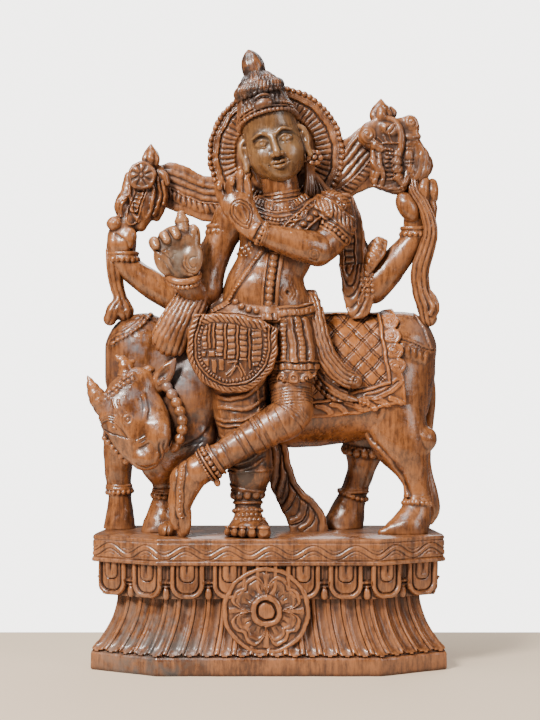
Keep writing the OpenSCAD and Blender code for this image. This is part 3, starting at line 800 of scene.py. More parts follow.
def cuff(g, x, y, z, radius):
    """A bracelet level with the ground: a plain ring with a row of beads under it."""
    g.limb(hoop(x, y, z + 5.6, radius - 0.6, 2.2, 0.9), 0.5, steps=2)
    g.limb(hoop(x, y, z + 1.0, radius - 1.2, 2.6, 0.9), 0.5, steps=2)
    count = round(2 * math.pi * radius / 5.4)
    for k in range(count):
        a = 2 * math.pi * k / count
        g.ball((x + radius * math.sin(a), y - 0.9 * radius * math.cos(a), z - 0.5), (2.6, 2.6, 3.0), 0.3)


def bead_ring(g, rows, s, bead, flat=1.0, out=0.2, squash=1.0):
    """Round beads about a limb, s mm along it."""
    form = Limb(rows, flat)
    here, ahead = (np.array([np.interp(t, form.s, form.p[:, i]) for i in range(4)]) for t in (s, s + 1))
    front, side = Limb.axes((ahead - here)[:3])
    reach = here[3] + out * bead
    count = max(8, round(2 * math.pi * reach / (2.0 * bead)))
    for k in range(count):
        a = 2 * math.pi * k / count
        offset = (front * math.cos(a) + side * math.sin(a)) * reach
        g.ball(here[:3] + offset * (1, flat, 1), (bead, bead, bead * squash), 0.3)


def on_stage(g):
    """Cuts a foot level with the top of the plinth."""
    win, X, Y, Z = g.window()
    g.d = np.maximum(g.d, STAGE_Z - 0.4 - Z)


def barrel(g, grow=0.0):
    g.limb([(-108, 20, 294, 50 + grow), (-60, 18, 284, 62 + grow), (25, 18, 285, 65 + grow),
            (90, 18, 287, 63.5 + grow), (112, 20, 294, 53 + grow)], flat=0.62)
    g.limb([(-128, 16, 315, 36.5 + grow), (-128, 16, 285, 36.5 + grow)], 9, 0.82)
    g.limb([(131, 14, 316, 38 + grow), (127, 13, 266, 36 + grow)], 9, 0.82)
    g.ball((116, 0, 268), (33 + grow, 22 + grow, 42 + grow), 14)
    g.ball((30, 18, 266), (66 + grow, 38 + grow, 46 + grow), 14)


def cow_body():
    g = around("cow_body", 1.1)
    barrel(g)

    def trappings(x, z):
        u, v = trace(x, z, [(126, 331), (136, 326), (149, 321), (163, 316)])
        h = ridge(v, 1.3, 1.4) + ridge(v + 3.2, 1.2, 1.2) + groove(v + 1.7, 0.6, 0.7)
        h = h + leaves(u, v + 10.5, 6.8, 6.0, 2.6, 0.35) * within(u, 8, 40, 2)
        u, v = trace(x, z, [(146, 353), (152, 343), (158, 331), (162, 318)])
        h = h + ridge(v, 1.2, 1.2) + groove(v + 2.2, 0.8, 0.9)
        u, v = trace(x, z, [(96, 226), (108, 238), (112, 262), (104, 290)])
        h = h + ridge(v, 3.0, 1.6) * within(u, 0, 60, 20)
        u, v = trace(x, z, [(-116, 354), (-124, 343), (-136, 333), (-156, 322)])
        h = h + 1.3 * beads(u, v, 5.4, 2.6) + ridge(v + 4.6, 1.1, 1.0) + groove(v + 6.2, 0.7, 0.7)
        return h

    g.emboss(trappings, y_max=16)
    g.emboss(lambda x, z: ridge(z - 349.5, 3.0, 0.8))
    g.wander(0.3, 1.8)
    finish("cow_body", g, cow_wood)


def neck_form(g):
    g.limb([(-66, -4, 292, 40), (-80, -8, 262, 37), (-92, -10, 232, 26), (-100, -6, 210, 16)], flat=0.75)
    g.ball((-72, -16, 226), (21, 17, 19), 10)


def cow_neck():
    g = around("cow_neck", 0.95, 14)
    neck_form(g)

    def wrinkles(x, z):
        h = 0
        for k in range(5):
            u, v = trace(x, z, [(-98 + 5 * k, 214 - k), (-80 + 5 * k, 222 + 3 * k),
                                (-58 + 3 * k, 226 + 9 * k)])
            h = h + groove(v, 1.1, 0.8) * within(u, 0, 44, 12)
        return h

    g.emboss(wrinkles, y_max=0)
    g.wander(0.35, 1.4)
    finish("cow_neck", g, cow_wood)


def cow_head_form(g, grow=0.0):
    g.limb([(-130, -33, 277, 22 + grow), (-137, -37, 258, 28 + grow), (-131, -40, 236, 25 + grow),
            (-121, -43, 215, 16 + grow)], flat=0.66)
    g.ball((-148, -41, 252), (15.5 + grow, 13 + grow, 16 + grow), 9)
    g.ball((-110, -36, 242), (14 + grow, 15 + grow, 28 + grow), 9)
    g.ball((-119, -46, 211), (15 + grow, 13 + grow, 11 + grow), 6)


def cow_head():
    g = around("cow_head", 0.68, 7)
    cow_head_form(g)
    g.ball((-150.4, -51.0, 239.2), (6.6, 3.8, 4.0), 1.2, tilt=-28)
    g.ball((-106, -46, 233), (13, 13, 20), 8)

    def features(x, z):
        h = 0
        for k, depth in ((0, 1.1), (2.4, 0.9), (4.8, 0.6)):
            u, v = trace(x, z, [(-165, 243 + k), (-154, 247 + k), (-144, 241 + k), (-137 + k / 2, 231)])
            h = h + groove(v, 0.8, depth) + ridge(v - 1.3, 0.9, 0.5)
        u, v = trace(x, z, [(-160, 238.5), (-151, 233.6), (-143, 232), (-138, 231)])
        h = h + groove(v, 0.8, 1.1) + ridge(v + 1.6, 1.0, 0.6)
        h = h + groove(np.hypot((x + 150) * 0.8, z - 239.4) - 2.2, 0.6, 1.0)
        for k, depth in ((0, 1.9), (4.2, 1.2)):
            u, v = trace(x, z, [(-110 + k, 279), (-103 + k, 269), (-97 + k, 257), (-94.5 + k, 244),
                                (-95 + k, 229), (-100 + k, 216)])
            h = h + groove(v, 1.1, depth) * within(u, 0, 66, 6)
        for k in (0, 4.4):
            u, v = trace(x, z, [(-104 + k, 230), (-106 + k, 222), (-104.5 + k, 214), (-108 + k, 207)])
            h = h + groove(v, 1.1, 1.5) * within(u, 0, 24, 5)
        for rows in ([(-132, 227), (-125, 230), (-118, 235)], [(-131, 224), (-123, 226.5), (-116, 231)],
                     [(-127, 219.5), (-121, 222), (-115, 226.5)]):
            u, v = trace(x, z, rows)
            h = h + groove(v, 0.8, 1.2) * within(u, 0, 16, 4)
        u, v = trace(x, z, [(-148, 271), (-147, 262), (-139, 252.5)])
        h = (h + ridge(np.abs(v) - 2.6, 0.9, 1.3) * within(u, 2, 21, 2)
             + ridge(v, 1.6, 0.7) * within(u, 10, 21, 2))
        r = np.hypot(x + 136, z - 248.6)
        h = h + ridge(r - 4.2, 1.0, 1.2) + ridge(r, 1.6, 1.1)
        u, v = trace(x, z, [(-122, 276), (-119, 262), (-120, 246)])
        h = (h + ridge(v, 2.0, 1.1) * within(u, 0, 30, 6)
             + groove(np.abs(v) - 3.0, 0.8, 0.7) * within(u, 0, 30, 6))
        u, v = trace(x, z, [(-128, 205), (-120, 201.5), (-110, 205)])
        return h + groove(v, 0.8, 1.2)

    g.emboss(features, y_max=-34)
    for lift in (0, 4.6):
        g.string([(-169, 261 + lift), (-162, 265 + lift), (-154.5, 270 + lift), (-148, 275 + lift),
                  (-141, 282 + lift), (-131, 288 + lift)], 4.8, 2.6, 0.1)
    for x, z in ((-160, 230), (-156.5, 225.5), (-152.5, 221), (-148.5, 216.5), (-144, 212), (-139, 207)):
        g.ball((x, -41, z), (3.4, 4.0, 3.2), 0.5)
    g.limb([(-125, -31, 290, 4), (-119, -31, 296, 4.4), (-114, -30, 296, 3)], 1.5)
    g.wander(0.25, 1.2)
    finish("cow_head", g, cow_wood)


def cow_horns():
    g = around("cow_horns", 0.6, 6)

    def turns(u, angle, r):
        return 0.3 * np.cos(u * 0.8 + 1.0 * angle)

    g.limb([(-160, -39, 260, 10.5), (-166.5, -41, 269, 9.0), (-172, -42, 280, 5.4), (-176, -42, 290, 1.0)],
           relief=turns)
    g.limb([(-137, -32, 284, 9.6), (-139, -32, 295, 8.8), (-142, -32.5, 303, 6.2), (-149, -33, 309, 2.0)],
           relief=turns)
    g.limb([(-133, -32, 304, 2.4), (-140, -36, 303, 2.6), (-147, -34, 305, 2.0)], 0.6)
    for c, lean in (((-163, -40, 264), 32), ((-138, -32, 290), 8)):
        g.ball(c, (10.8, 10.8, 2.4), 0.8, tilt=-lean)
    finish("cow_horns", g, cow_wood)


def cow_ear():
    g = around("cow_ear", 0.55, 6)
    g.limb([(-112, -34, 277, 5), (-106, -36, 285, 8.5), (-99, -38, 295, 7.6), (-94, -39, 302, 4.2),
            (-91, -39, 307, 1)], flat=0.55)
    g.ball((-102, -43.4, 292), (5.0, 5.0, 11.5), 1.0, tilt=-38, cut=True)
    g.ball((-105, -40, 285), (2.2, 2.2, 5.0), 1.0, tilt=-33)
    finish("cow_ear", g, cow_wood)


def anklet(g, rows, z, bead, flat=1.0):
    """A plain ring about a leg at height z, with round beads below it."""
    s, r = station(rows, z)
    form = Limb(rows, flat)
    for lift, thick in ((0, 1.7), (2.9, 1.2)):
        at = [np.interp(s - lift, form.s, form.p[:, i]) for i in range(4)]
        g.limb(hoop(at[0], at[1], at[2], at[3] + 0.2, thick, flat), 0.5, steps=2)
    bead_ring(g, rows, s + bead + 1.2, bead, flat, 0.25)


def cow_legs():
    rows = [(-142, 32, 262, 26), (-151, 34, 222, 17.5), (-153, 35, 190, 13.8), (-151.5, 35, 164, 12.0),
            (-152, 37, 133, 16.5)]
    g = around("fore_leg_far", 0.85)
    g.limb(rows)
    anklet(g, rows, 174, 2.6)
    on_stage(g)
    g.wander(0.25, 1.3)
    finish("fore_leg_far", g, cow_wood)

    rows = [(-105, 8, 240, 26), (-107, 9, 208, 24), (-104.5, 12, 188, 15), (-103.5, 12, 172, 12),
            (-105, 12, 156, 14.5), (-109, 10, 133, 19)]
    g = around("fore_leg_near", 0.85, 30)
    g.limb(rows)
    anklet(g, rows, 172, 2.8)
    g.ball((-99, -24, 138), (10, 14, 9), 7)
    g.emboss(lambda x, z: groove(x + 99, 1.0, 1.4) * within(z, 120, 148, 8), y_max=-10)
    on_stage(g)
    g.wander(0.35, 1.2)
    finish("fore_leg_near", g, cow_wood)

    rows = [(120, 6, 268, 36), (130, 0, 228, 29), (141, -3, 202, 18), (147, -4, 184, 12.4),
            (148, -4, 166, 12.6), (146, -6, 150, 16), (139, -9, 134, 20)]
    g = around("hind_leg_near", 0.9)
    g.limb(rows, flat=0.76)
    anklet(g, rows, 166, 2.6, 0.76)
    g.ball((156, -4, 226), (12, 11, 13), 5, tilt=-12)
    g.limb([(139, -10, 140, 13), (126, -14, 137, 9), (113, -16, 134, 4.5)], 8)

    def fold(x, z):
        u, v = trace(x, z, [(88, 246), (100, 226), (118, 206), (132, 186), (137, 170)])
        h = ridge(v, 2.4, 1.4) + groove(v - 3.4, 1.8, 0.9)
        u, v = trace(x, z, [(146, 238), (156, 218), (163, 214)])
        return h + groove(v, 1.1, 1.0) * within(u, 4, 30, 6)

    g.emboss(fold, y_max=0)
    on_stage(g)
    g.wander(0.25, 1.4)
    finish("hind_leg_near", g, cow_wood)

    rows = [(102, 36, 250, 30), (98, 38, 216, 20.5), (95, 39, 194, 14.5), (88, 40, 172, 13.6),
            (83, 41, 156, 16),
            (76, 41, 133, 21)]
    g = around("hind_leg_far", 0.85)
    g.limb(rows, flat=0.85)
    anklet(g, rows, 170, 2.6, 0.85)
    for z, bead, lift in ((211, 4.2, 0.2), (215.5, 1.7, 0.5)):
        bead_ring(g, rows, station(rows, z)[0], bead, 0.85, lift, 1.25)
    on_stage(g)
    g.wander(0.25, 1.4)
    finish("hind_leg_far", g, cow_wood)


def cow_tail():
    g = around("cow_tail", 0.8, 5)

    def hair(u, angle, r):
        return 0.5 * np.cos(angle * 7) * np.clip((u - 90) / 30, 0, 1)

    g.limb([(158, 34, 312, 6), (166, 40, 270, 5), (163, 45, 225, 4.6), (162, 48, 195, 5), (166, 50, 165, 8.5),
            (169, 50, 150, 7), (167, 50, 138, 3)], relief=hair)
    finish("cow_tail", g, cow_wood)


def saddle_cloth():
    g = around("saddle_cloth", 0.68, 9)
    barrel(g, 2.6)
    shape = [(42, 357), (124, 357)]
    for k in range(4):                                      # a scalloped side
        cx, cz = 119.5 + 2.2 * k, 344.0 - 14.6 * k
        shape += [(cx + 7.5, cz + 5.5), (cx + 10, cz), (cx + 7.5, cz - 5.5), (cx + 5.5, cz - 7.3)]
    shape += [(134, 286), (136, 263), (118, 261), (90, 252), (60, 249), (40, 248)]
    win, X, Y, Z = g.window()
    edge = outline(X[:, 0, :], Z[:, 0, :], shape)[:, None, :]
    g.d = smax(g.d, edge, 1.2)
    field = [(36, 352), (110, 352), (113, 326), (120, 283), (91, 275), (60, 266), (36, 262)]

    def quilt(x, z):
        h = 0
        for turn in (1, -1):
            across = (x * 0.72 + turn * z * 0.69 + 3) / 12.8
            line = (across - np.round(across)) * 12.8
            h = h + groove(line - 1.1, 0.6, 1.5) + groove(line + 1.1, 0.6, 1.5) - 0.3 * (np.abs(line) < 1.1)
        d = outline(x, z, field)
        return h * (d < -2.5) + ridge(d, 1.6, 1.7) + groove(np.abs(d) - 2.2, 0.6, 0.8)

    def border(x, z):
        h = 0
        for k in range(4):                                  # nested loops down the side
            cx, cz = 119.5 + 2.2 * k, 344.0 - 14.6 * k
            rho = np.hypot((x - cx) / 9.6, (z - cz) / 7.2)
            h = h + (2.6 * np.sqrt(np.clip(1 - rho * rho, 0, 1)) + groove(rho - 0.36, 0.09, 1.4)
                     + groove(rho - 0.60, 0.08, 1.2) + groove(rho - 0.82, 0.06, 0.8) * (x > cx - 4))
        for k in range(6):                                  # leaves along the hem
            cx, cz = 56 + 14.5 * k, 254.6 + 1.4 * k
            u, v = trace(x, z, [(cx - 8, cz + 6), (cx - 1, cz + 4), (cx + 5, cz - 1), (cx + 6, cz - 6)])
            h = h + ridge(v, 3.2, 2.2) * (u < 18) + groove(v, 0.7, 1.0) * (u < 16)
        h = h + scroll(x, z, 92, 263, 8.0, 2.6)
        u, v = trace(x, z, [(98, 270), (108, 271), (118, 276), (128, 284)])
        h = h + ridge(v + 2, 2.6, 2.0) + groove(v + 2, 0.7, 0.9) + ridge(v - 3.2, 1.6, 1.4)
        return h * (outline(x, z, field) > 2.4)

    g.emboss(lambda x, z: quilt(x, z) + border(x, z), y_max=14)
    lip = ridge(edge + 1.2, 1.5, 0.9)
    g.d -= lip
    g.d = np.maximum(g.d, Y - 19)
    finish("saddle_cloth", g, saddle_wood)


def bell_collar():
    g = around("bell_collar", 0.55, 6)
    line = spline([(-101, -36, 282), (-95, -38, 273), (-89, -40, 262), (-85, -41, 250), (-84, -41, 240),
                   (-87, -40, 229), (-93, -38, 219)], 12)
    run = lengths(line)
    for s in np.arange(3, run[-1], 9.2):
        c = np.array([np.interp(s, run, line[:, i]) for i in range(3)])
        ahead = np.array([np.interp(s + 1, run, line[:, i]) for i in range(3)]) - c
        g.limb([tuple(c - ahead * 1.9) + (4.6,), tuple(c) + (5.5,), tuple(c + ahead * 1.9) + (4.6,)], 0.2)
        g.limb([tuple(c - ahead * 3.6) + (2.8,), tuple(c + ahead * 3.6) + (2.8,)], 0.4)
    finish("bell_collar", g, cow_wood)


cow_body()
cow_neck()
cow_head()
cow_horns()
cow_ear()
cow_legs()
cow_tail()
saddle_cloth()
bell_collar()


# ---- deity: head -----------------------------------------------------------------------

HEAD_AT = np.array([7.0, -24.0, 511.0])
HEAD_LEAN = math.radians(15)
HALO_LOW, HALO_HIGH = box_mm("halo")
HALO_X, HALO_Z = (HALO_LOW[0] + HALO_HIGH[0]) / 2, (HALO_LOW[2] + HALO_HIGH[2]) / 2
HALO_R = (HALO_HIGH[0] - HALO_LOW[0]) / 2


def leaning(v):
    """From the head's own frame, upright at the origin, to its place."""
    c, s = math.cos(HEAD_LEAN), math.sin(HEAD_LEAN)
    x = v[:, 0] * c - v[:, 2] * s
    z = v[:, 0] * s + v[:, 2] * c
    return np.stack([x, v[:, 1], z], 1) + HEAD_AT


def head():
    g = Carving((-42, -42, -44), (42, 36, 46), 0.58)
    g.ball((0, 1, 4), (28.5, 26, 31))
    g.limb([(0, 1.5, 8, 27.5), (0, 1.5, 24, 27.5), (0, 1.5, 36, 27)], 4, 0.93)
    g.ball((0, -5, -10), (23.5, 20, 21), 10)
    g.ball((0, -15, -23), (9.5, 8, 8), 9)
    g.ball((13, -14, -5), (9.5, 9.5, 10), 9, mirror=True)
    g.limb([(3.6, -25.4, 14.0, 1.3), (11, -25.6, 17.6, 1.7), (20, -20.8, 14.6, 1.0)], 3.5, mirror=True)
    g.ball((11.2, -28.6, 7.8), (8.2, 3.6, 4.8), 3.5, cut=True, mirror=True)
    g.ball((11.2, -21.0, 7.4), (7.4, 4.9, 4.6), 0.8, mirror=True)
    g.limb([(4.0, -23.6, 5.6, 0.7), (7.4, -25.4, 9.4, 1.1), (12, -25.8, 10.8, 1.3), (18.8, -20.6, 7.4, 0.7)],
           0.4, mirror=True)
    g.limb([(4.8, -25.4, 10.6, 0.4), (11.4, -27.6, 14.0, 0.55), (19, -22.0, 10.6, 0.4)], 0.5, cut=True,
           mirror=True)
    g.limb([(4.2, -23.6, 5.4, 0.5), (11.2, -24.9, 3.6, 0.8), (18.4, -20.6, 7.0, 0.5)], 0.4, mirror=True)
    g.ball((10.6, -25.6, 7.2), (2.7, 0.9, 2.7), 0.3, mirror=True)
    g.limb([(0, -24.5, 14, 2.6), (0, -27.6, 6, 2.8), (0, -31.4, -3, 3.5), (0, -31.4, -5.5, 3.6)], 3.2)
    g.ball((4.0, -28.4, -6.0), (3.1, 3.6, 2.7), 1.6, mirror=True)
    g.ball((2.5, -30.4, -8.9), (1.2, 1.6, 1.0), 0.5, cut=True, mirror=True)
    g.limb([(-10.4, -23.0, -14.2, 0.7), (-3.6, -27.4, -12.8, 1.6), (0, -27.7, -13.5, 1.5),
            (3.6, -27.4, -12.8, 1.6),
            (10.4, -23.0, -14.2, 0.7)], 1.3)
    g.limb([(-8.4, -23.8, -15.8, 0.8), (0, -27.0, -17.9, 2.1), (8.4, -23.8, -15.8, 0.8)], 1.3)
    g.limb([(-10.6, -24.0, -14.2, 0.5), (-3.6, -29.4, -14.9, 0.6), (0, -29.8, -15.2, 0.6),
            (3.6, -29.4, -14.9, 0.6), (10.6, -24.0, -14.2, 0.5)], 0.5, cut=True)
    g.ball((0, -29, -10.6), (1.5, 2, 1.9), 1.2, cut=True)
    for side in (-1, 1):                                   # ears, long-lobed
        ear = [(side * 28.0, -3, 17, 3), (side * 31.5, -3, 13, 3.2), (side * 33.0, -3.5, 5, 3.2),
               (side * 31.5, -4.5, -4, 3.0), (side * 32.0, -5.5, -12, 3.2)]
        g.limb(ear, 1.5)
        g.limb([(side * 28.5, -5, 9, 2.4), (side * 29.0, -5, 2, 2.2), (side * 29.5, -5, -8, 2.4)], 1.5)
        g.ball((side * 30.2, -8.5, 6), (1.6, 3.0, 5.0), 1.0, cut=True)
    for k in range(3):                                     # hair at the temples
        g.limb([(28 - k, 6 + 3 * k, 22, 2), (31, 6 + 3 * k, 4, 2.4), (30, 7 + 3 * k, -16, 2.4)], 1,
               mirror=True)
    g.wander(0.10, 1.2)
    finish("head", g, face_wood, place=leaning)


def crown():
    g = Carving((-38, -38, 14), (38, 38, 110), 0.62)

    def flames(u, angle, r):
        wave = np.cos(9 * angle + 1.4 * np.sin(u * 0.45))
        strands = np.cos(26 * angle + 2.6 * np.sin(u * 0.28) * np.sign(np.sin(angle)))
        return 0.8 * np.abs(wave) ** 0.7 + 0.75 * strands - 0.7

    g.limb([(0, 2, 26, 30), (0, 2, 34, 27.5), (0, 2, 42, 24), (0, 2, 52, 21), (0, 2, 62, 20)], relief=flames)
    win, X, Y, Z = g.window()
    forehead = 25 + 14 * np.clip(-(Y - 2) / 28, 0, 1) ** 1.2
    g.d = smax(g.d, forehead - Z, 1.0)
    for lift, radius, bead in ((0, 29.6, 2.0), (4.0, 29.3, 1.4), (7.4, 28.2, 1.7)):
        ring = spline(hoop(0, 2, 25 + lift, radius, bead, 0.95, 12.5), 4)
        run = lengths(ring[:, :3])
        g.limb(hoop(0, 2, 25 + lift, radius - 0.6, bead * 0.8, 0.95, 12.5), 0.4, steps=2)
        if bead > 1.5:
            for u in np.arange(0, run[-1], 2.1 * bead):
                g.ball([np.interp(u, run, ring[:, i]) for i in range(3)], bead, 0.3)
    def coil(u, angle, r):
        return pleats(u + 2.0 * angle, 3.0, 1.5) - 0.6

    g.limb(hoop(0, 2, 62.5, 18.6, 6.4, 0.95), 1.0, relief=coil, steps=2)
    g.limb(hoop(0, 2, 68.5, 15.0, 4.6, 0.95), 0.8, relief=coil, steps=2)
    for k in range(26):                                     # curls under the coil
        a = 2 * math.pi * k / 26
        g.ball((22.6 * math.sin(a), 2 - 21.5 * math.cos(a), 57.6), (2.6, 2.6, 2.9), 0.5)
    g.limb([(0, 2, 58, 16), (0, 2, 70, 12), (0, 2, 78, 8)], 1)
    g.limb(hoop(0, 2, 74.6, 9.0, 3.4, 0.95), 0.8, relief=coil, steps=2)

    def bud(u, angle, r):
        leaf = np.abs(np.sin(2.5 * angle + 0.35))
        return 1.0 * leaf ** 0.5 + groove(leaf - 0.45, 0.12, 0.7)

    g.limb([(0, 2, 76, 8.0), (0, 2, 82, 10.6), (0, 2, 89, 10.0), (0, 2, 95, 6.4), (0, 2, 101, 1.6)], 0.6,
           relief=bud)
    g.limb([(-5, -24.0, 45, 4.4), (0, -25.2, 45.5, 4.8), (5, -24.0, 45, 4.4)], 0.8, 0.8)
    g.limb([(-11, -22.0, 44, 1.3), (-7, -23.5, 51.5, 1.5), (0, -24.6, 54, 1.6), (7, -23.5, 51.5, 1.5),
            (11, -22.0, 44, 1.3)], 0.6)
    for k in range(4):                                      # crest that falls from the brim to the ear
        g.limb([(19 + k, -9 + 5 * k, 56, 1.6), (21.5 + 1.2 * k, -9 + 5.5 * k, 46, 1.9),
                (25.5 + 1.0 * k, -8 + 6 * k, 36, 1.9), (28.5 + 0.5 * k, -6 + 6 * k, 29, 1.6)], 0.8,
                mirror=True)
    g.wander(0.15)
    finish("crown", g, dress_wood, place=leaning)


def halo():
    g = around("halo", 0.72, 4)
    front = HALO_LOW[1] + 2.5

    def height(x, z):
        r, a = np.hypot(x - HALO_X, z - HALO_Z), np.arctan2(z - HALO_Z, x - HALO_X)
        rim = beads(a * 66.2, r - 66.2, 2 * math.pi * 66.2 / 70, 2.7)
        hoops = 0.9 * within(r, 57.8, 63.4, 0.8) + groove(r - 61.6, 0.6, 0.9) + groove(r - 59.6, 0.6, 0.7)
        rays = 2.2 * np.abs(np.sin(a * 30)) ** 0.5 * within(r, 40, 56.5, 1.8)
        curls = 1.1 * np.cos(r * 0.9 + 2.5 * np.sin(7 * a)) * within(r, 20, 34, 3)
        return rim + hoops + rays + curls + np.where(r < 57, -1.6, 0)

    def inside(x, z):
        r, a = np.hypot(x - HALO_X, z - HALO_Z), np.arctan2(z - HALO_Z, x - HALO_X)
        return r - HALO_R + 1.4 * (1 - np.abs(np.sin(a * 35)) ** 0.5)

    g.slab(front, HALO_HIGH[1] - 1.5, inside, height, edge=1.0, back=0.6)
    g.wander(0.15)
    finish("halo", g, dress_wood)


def wing(node, edge, flow, spacing, rows, tassels):
    """Drapery that streams out from behind a shoulder, in folds along a line."""
    g = around(node, 0.72, 8)
    low, high = box_mm(node)

    def height(x, z):
        u, v = trace(x, z, flow)
        top, bottom = rows
        folds = pleats(v + 0.9 * np.sin(u * 0.07), spacing, 2.0) * within(v, bottom, top, 1.5)
        tufts = leaves(u, v - bottom + 5.0, 5.6, 5.4, 2.4, 0.5) * (v < bottom)
        return folds + tufts + ridge(v - bottom, 1.0, 1.4) - 1.2

    def inside(x, z):
        return np.maximum(outline(x, z, edge, 5), HALO_R - 4 - np.hypot(x - HALO_X, z - HALO_Z))

    g.slab(low[1] + 2.6, high[1] - 1, inside, height, edge=3.0, back=0.6)
    for rows_3d in tassels:
        g.limb(rows_3d, 1.5, relief=lambda u, angle, r: 0.5 * np.cos(6 * angle))
    g.wander(0.2)
    finish(node, g, dress_wood)


def wings():
    wing("right_wing_drape",
         [(-119, 494), (-104, 502), (-88, 502), (-74, 494), (-60, 489), (-36, 490), (-34, 446), (-62, 444),
          (-81, 450), (-101, 457), (-117, 462)],
         [(-126, 468), (-112, 475), (-98, 477), (-80, 468), (-60, 462), (-34, 461)], 6.6, (19.8, 0),
         [[(-104, 4, 486, 4), (-108, 3, 477, 5), (-106, 4, 468, 3)],
          [(-110, 5, 492, 4), (-113, 4, 478, 4), (-116, 4, 462, 5)]])
    wing("left_wing_drape",
         [(54, 534), (68, 523), (78, 528), (104, 545), (116, 540), (113, 488), (100, 477), (84, 469),
          (72, 456),
          (40, 452), (38, 500)],
         [(38, 462), (56, 468), (74, 478), (92, 494), (112, 520)], 6.6, (26.4, 0),
         [[(40 + 2 * k, 2, 496 - 2 * k, 2.0), (43 + 4 * k, 1, 482 - 2 * k, 2.6),
           (42 + 7 * k, 2, 464 - k, 2.8)]
          for k in range(5)])                               # hair fanned over the root of the wing


def earrings():
    g = around("earrings", 0.5, 4)
    low, high = box_mm("earrings")
    for cx, cz in ((-25.0, 488.0), (45.5, 504.0)):

        def height(x, z):
            r, a = np.hypot(x - cx, z - cz), np.arctan2(z - cz, x - cx)
            petal = np.abs(np.cos(3 * a)) ** 0.5
            return 2.4 * petal * within(r, 3.2, 8.4, 0.8) + ridge(r, 3.1, 3.2) - 0.8

        def inside(x, z):
            r, a = np.hypot(x - cx, z - cz), np.arctan2(z - cz, x - cx)
            return r - 6.8 - 1.9 * np.abs(np.cos(3 * a))

        g.slab(low[1] + 2.2, high[1], inside, height, edge=1.0)
    finish("earrings", g, dress_wood)


def neck():
    g = around("neck", 0.65, 12)

    def creases(u, angle, r):
        return 0.8 * np.cos(2 * math.pi * u / 5.0) * within(u, 6, 24, 3)

    g.limb([(16, -20, 450, 21), (14, -21, 464, 18.5), (12, -22, 476, 18), (10, -22, 488, 18)], relief=creases)
    for k in range(6):                                      # locks of hair behind the ears
        g.limb([(37 + 1.0 * k, -8 + 1.5 * k, 500, 2), (38 + 2.6 * k, -10 + 1.5 * k, 486, 2.3),
                (36 + 4.6 * k, -10 + 2 * k, 470 - k, 2.5)], 0.7)
        g.limb([(-19 - 1.0 * k, -8 + 1.5 * k, 488, 2), (-19 - 2.2 * k, -9 + 1.5 * k, 474, 2.3),
                (-16 - 4.0 * k, -10 + 2 * k, 460 - k, 2.5)], 0.7)
    finish("neck", g, skin_wood)


# ---- deity: body and front arms --------------------------------------------------------

def body_form(g):
    g.limb([(-3, -18, 350, 47), (-4, -19, 370, 41), (1, -20, 394, 34.5), (8, -20, 414, 37),
            (13, -20, 430, 37)],
           flat=0.6)
    g.ball((12, -18, 444), (55, 19, 20), 12)
    g.ball((-6, -33, 437), (18, 10, 13), 9)
    g.ball((32, -33, 435), (18, 10, 13), 9)
    g.ball((15, -18, 458), (27, 15, 13), 10)
    g.ball((-5, -33, 378), (27, 15, 19), 12)


def torso():
    g = around("torso", 0.75)
    body_form(g)
    g.ball((19, -46, 372), (2.4, 6, 2.6), 1.5, cut=True)

    def jewels(x, z):
        h = 0
        u, v = trace(x, z, [(-20, 470), (-8, 460), (8, 456), (22, 458), (34, 465), (46, 474)])
        h = (h + pleats(u, 3.3, 2.0) * within(v, -4.6, 4.6, 0.9) + ridge(v - 5.6, 1.2, 1.2)
             + ridge(v + 5.8, 1.2, 1.3))
        u, v = trace(x, z, [(-16, 452), (0, 447), (16, 446), (30, 450)])
        h = h + ridge(v, 1.3, 1.2) + beads(u, v + 3.6, 3.6, 1.7) + ridge(v + 7.0, 1.2, 0.9)
        u, v = trace(x, z, [(72, 470), (52, 458), (36, 444), (22, 430), (12, 420)])
        h = h + 2.0 * within(v, -10.5, 10.5, 1.2) * (u < 74)
        h = h + (ridge(v - 9, 1.5, 1.8) + ridge(v + 9, 1.5, 1.8) + ridge(v + 3.5, 0.9, 1.0)) * (u < 74)
        h = h + 1.1 * beads(u, v - 3.2, 7.6, 3.3) + leaves(u, v + 6.4, 4.2, 2.6, 1.2)
        u, v = trace(x, z, [(-6, 414), (-20, 394), (-31, 378), (-40, 364), (-60, 350)])
        h = h + ridge(v, 2.6, 1.2) + 0.8 * beads(u, v, 3.4, 1.7) + groove(v - 3.4, 0.8, 0.8)
        for turn in (-1, 1):
            u, v = trace(x, z, [(19 + turn * 5, 379), (19 + turn * 8, 372), (19 + turn * 5, 365)])
            h = h + groove(v, 0.8, 0.8) + groove(v + turn * 2.6, 0.7, 0.5)
        return h

    g.emboss(jewels, y_max=-14)
    for k in range(3):
        g.string([(-40 + 2 * k, 423 - 4 * k), (-27 + k, 415 - 4 * k), (-15, 421 - 5 * k)], 4.8, 2.6 - 0.6 * k)
    g.wander(0.2, 1.6)
    finish("torso", g, skin_wood)


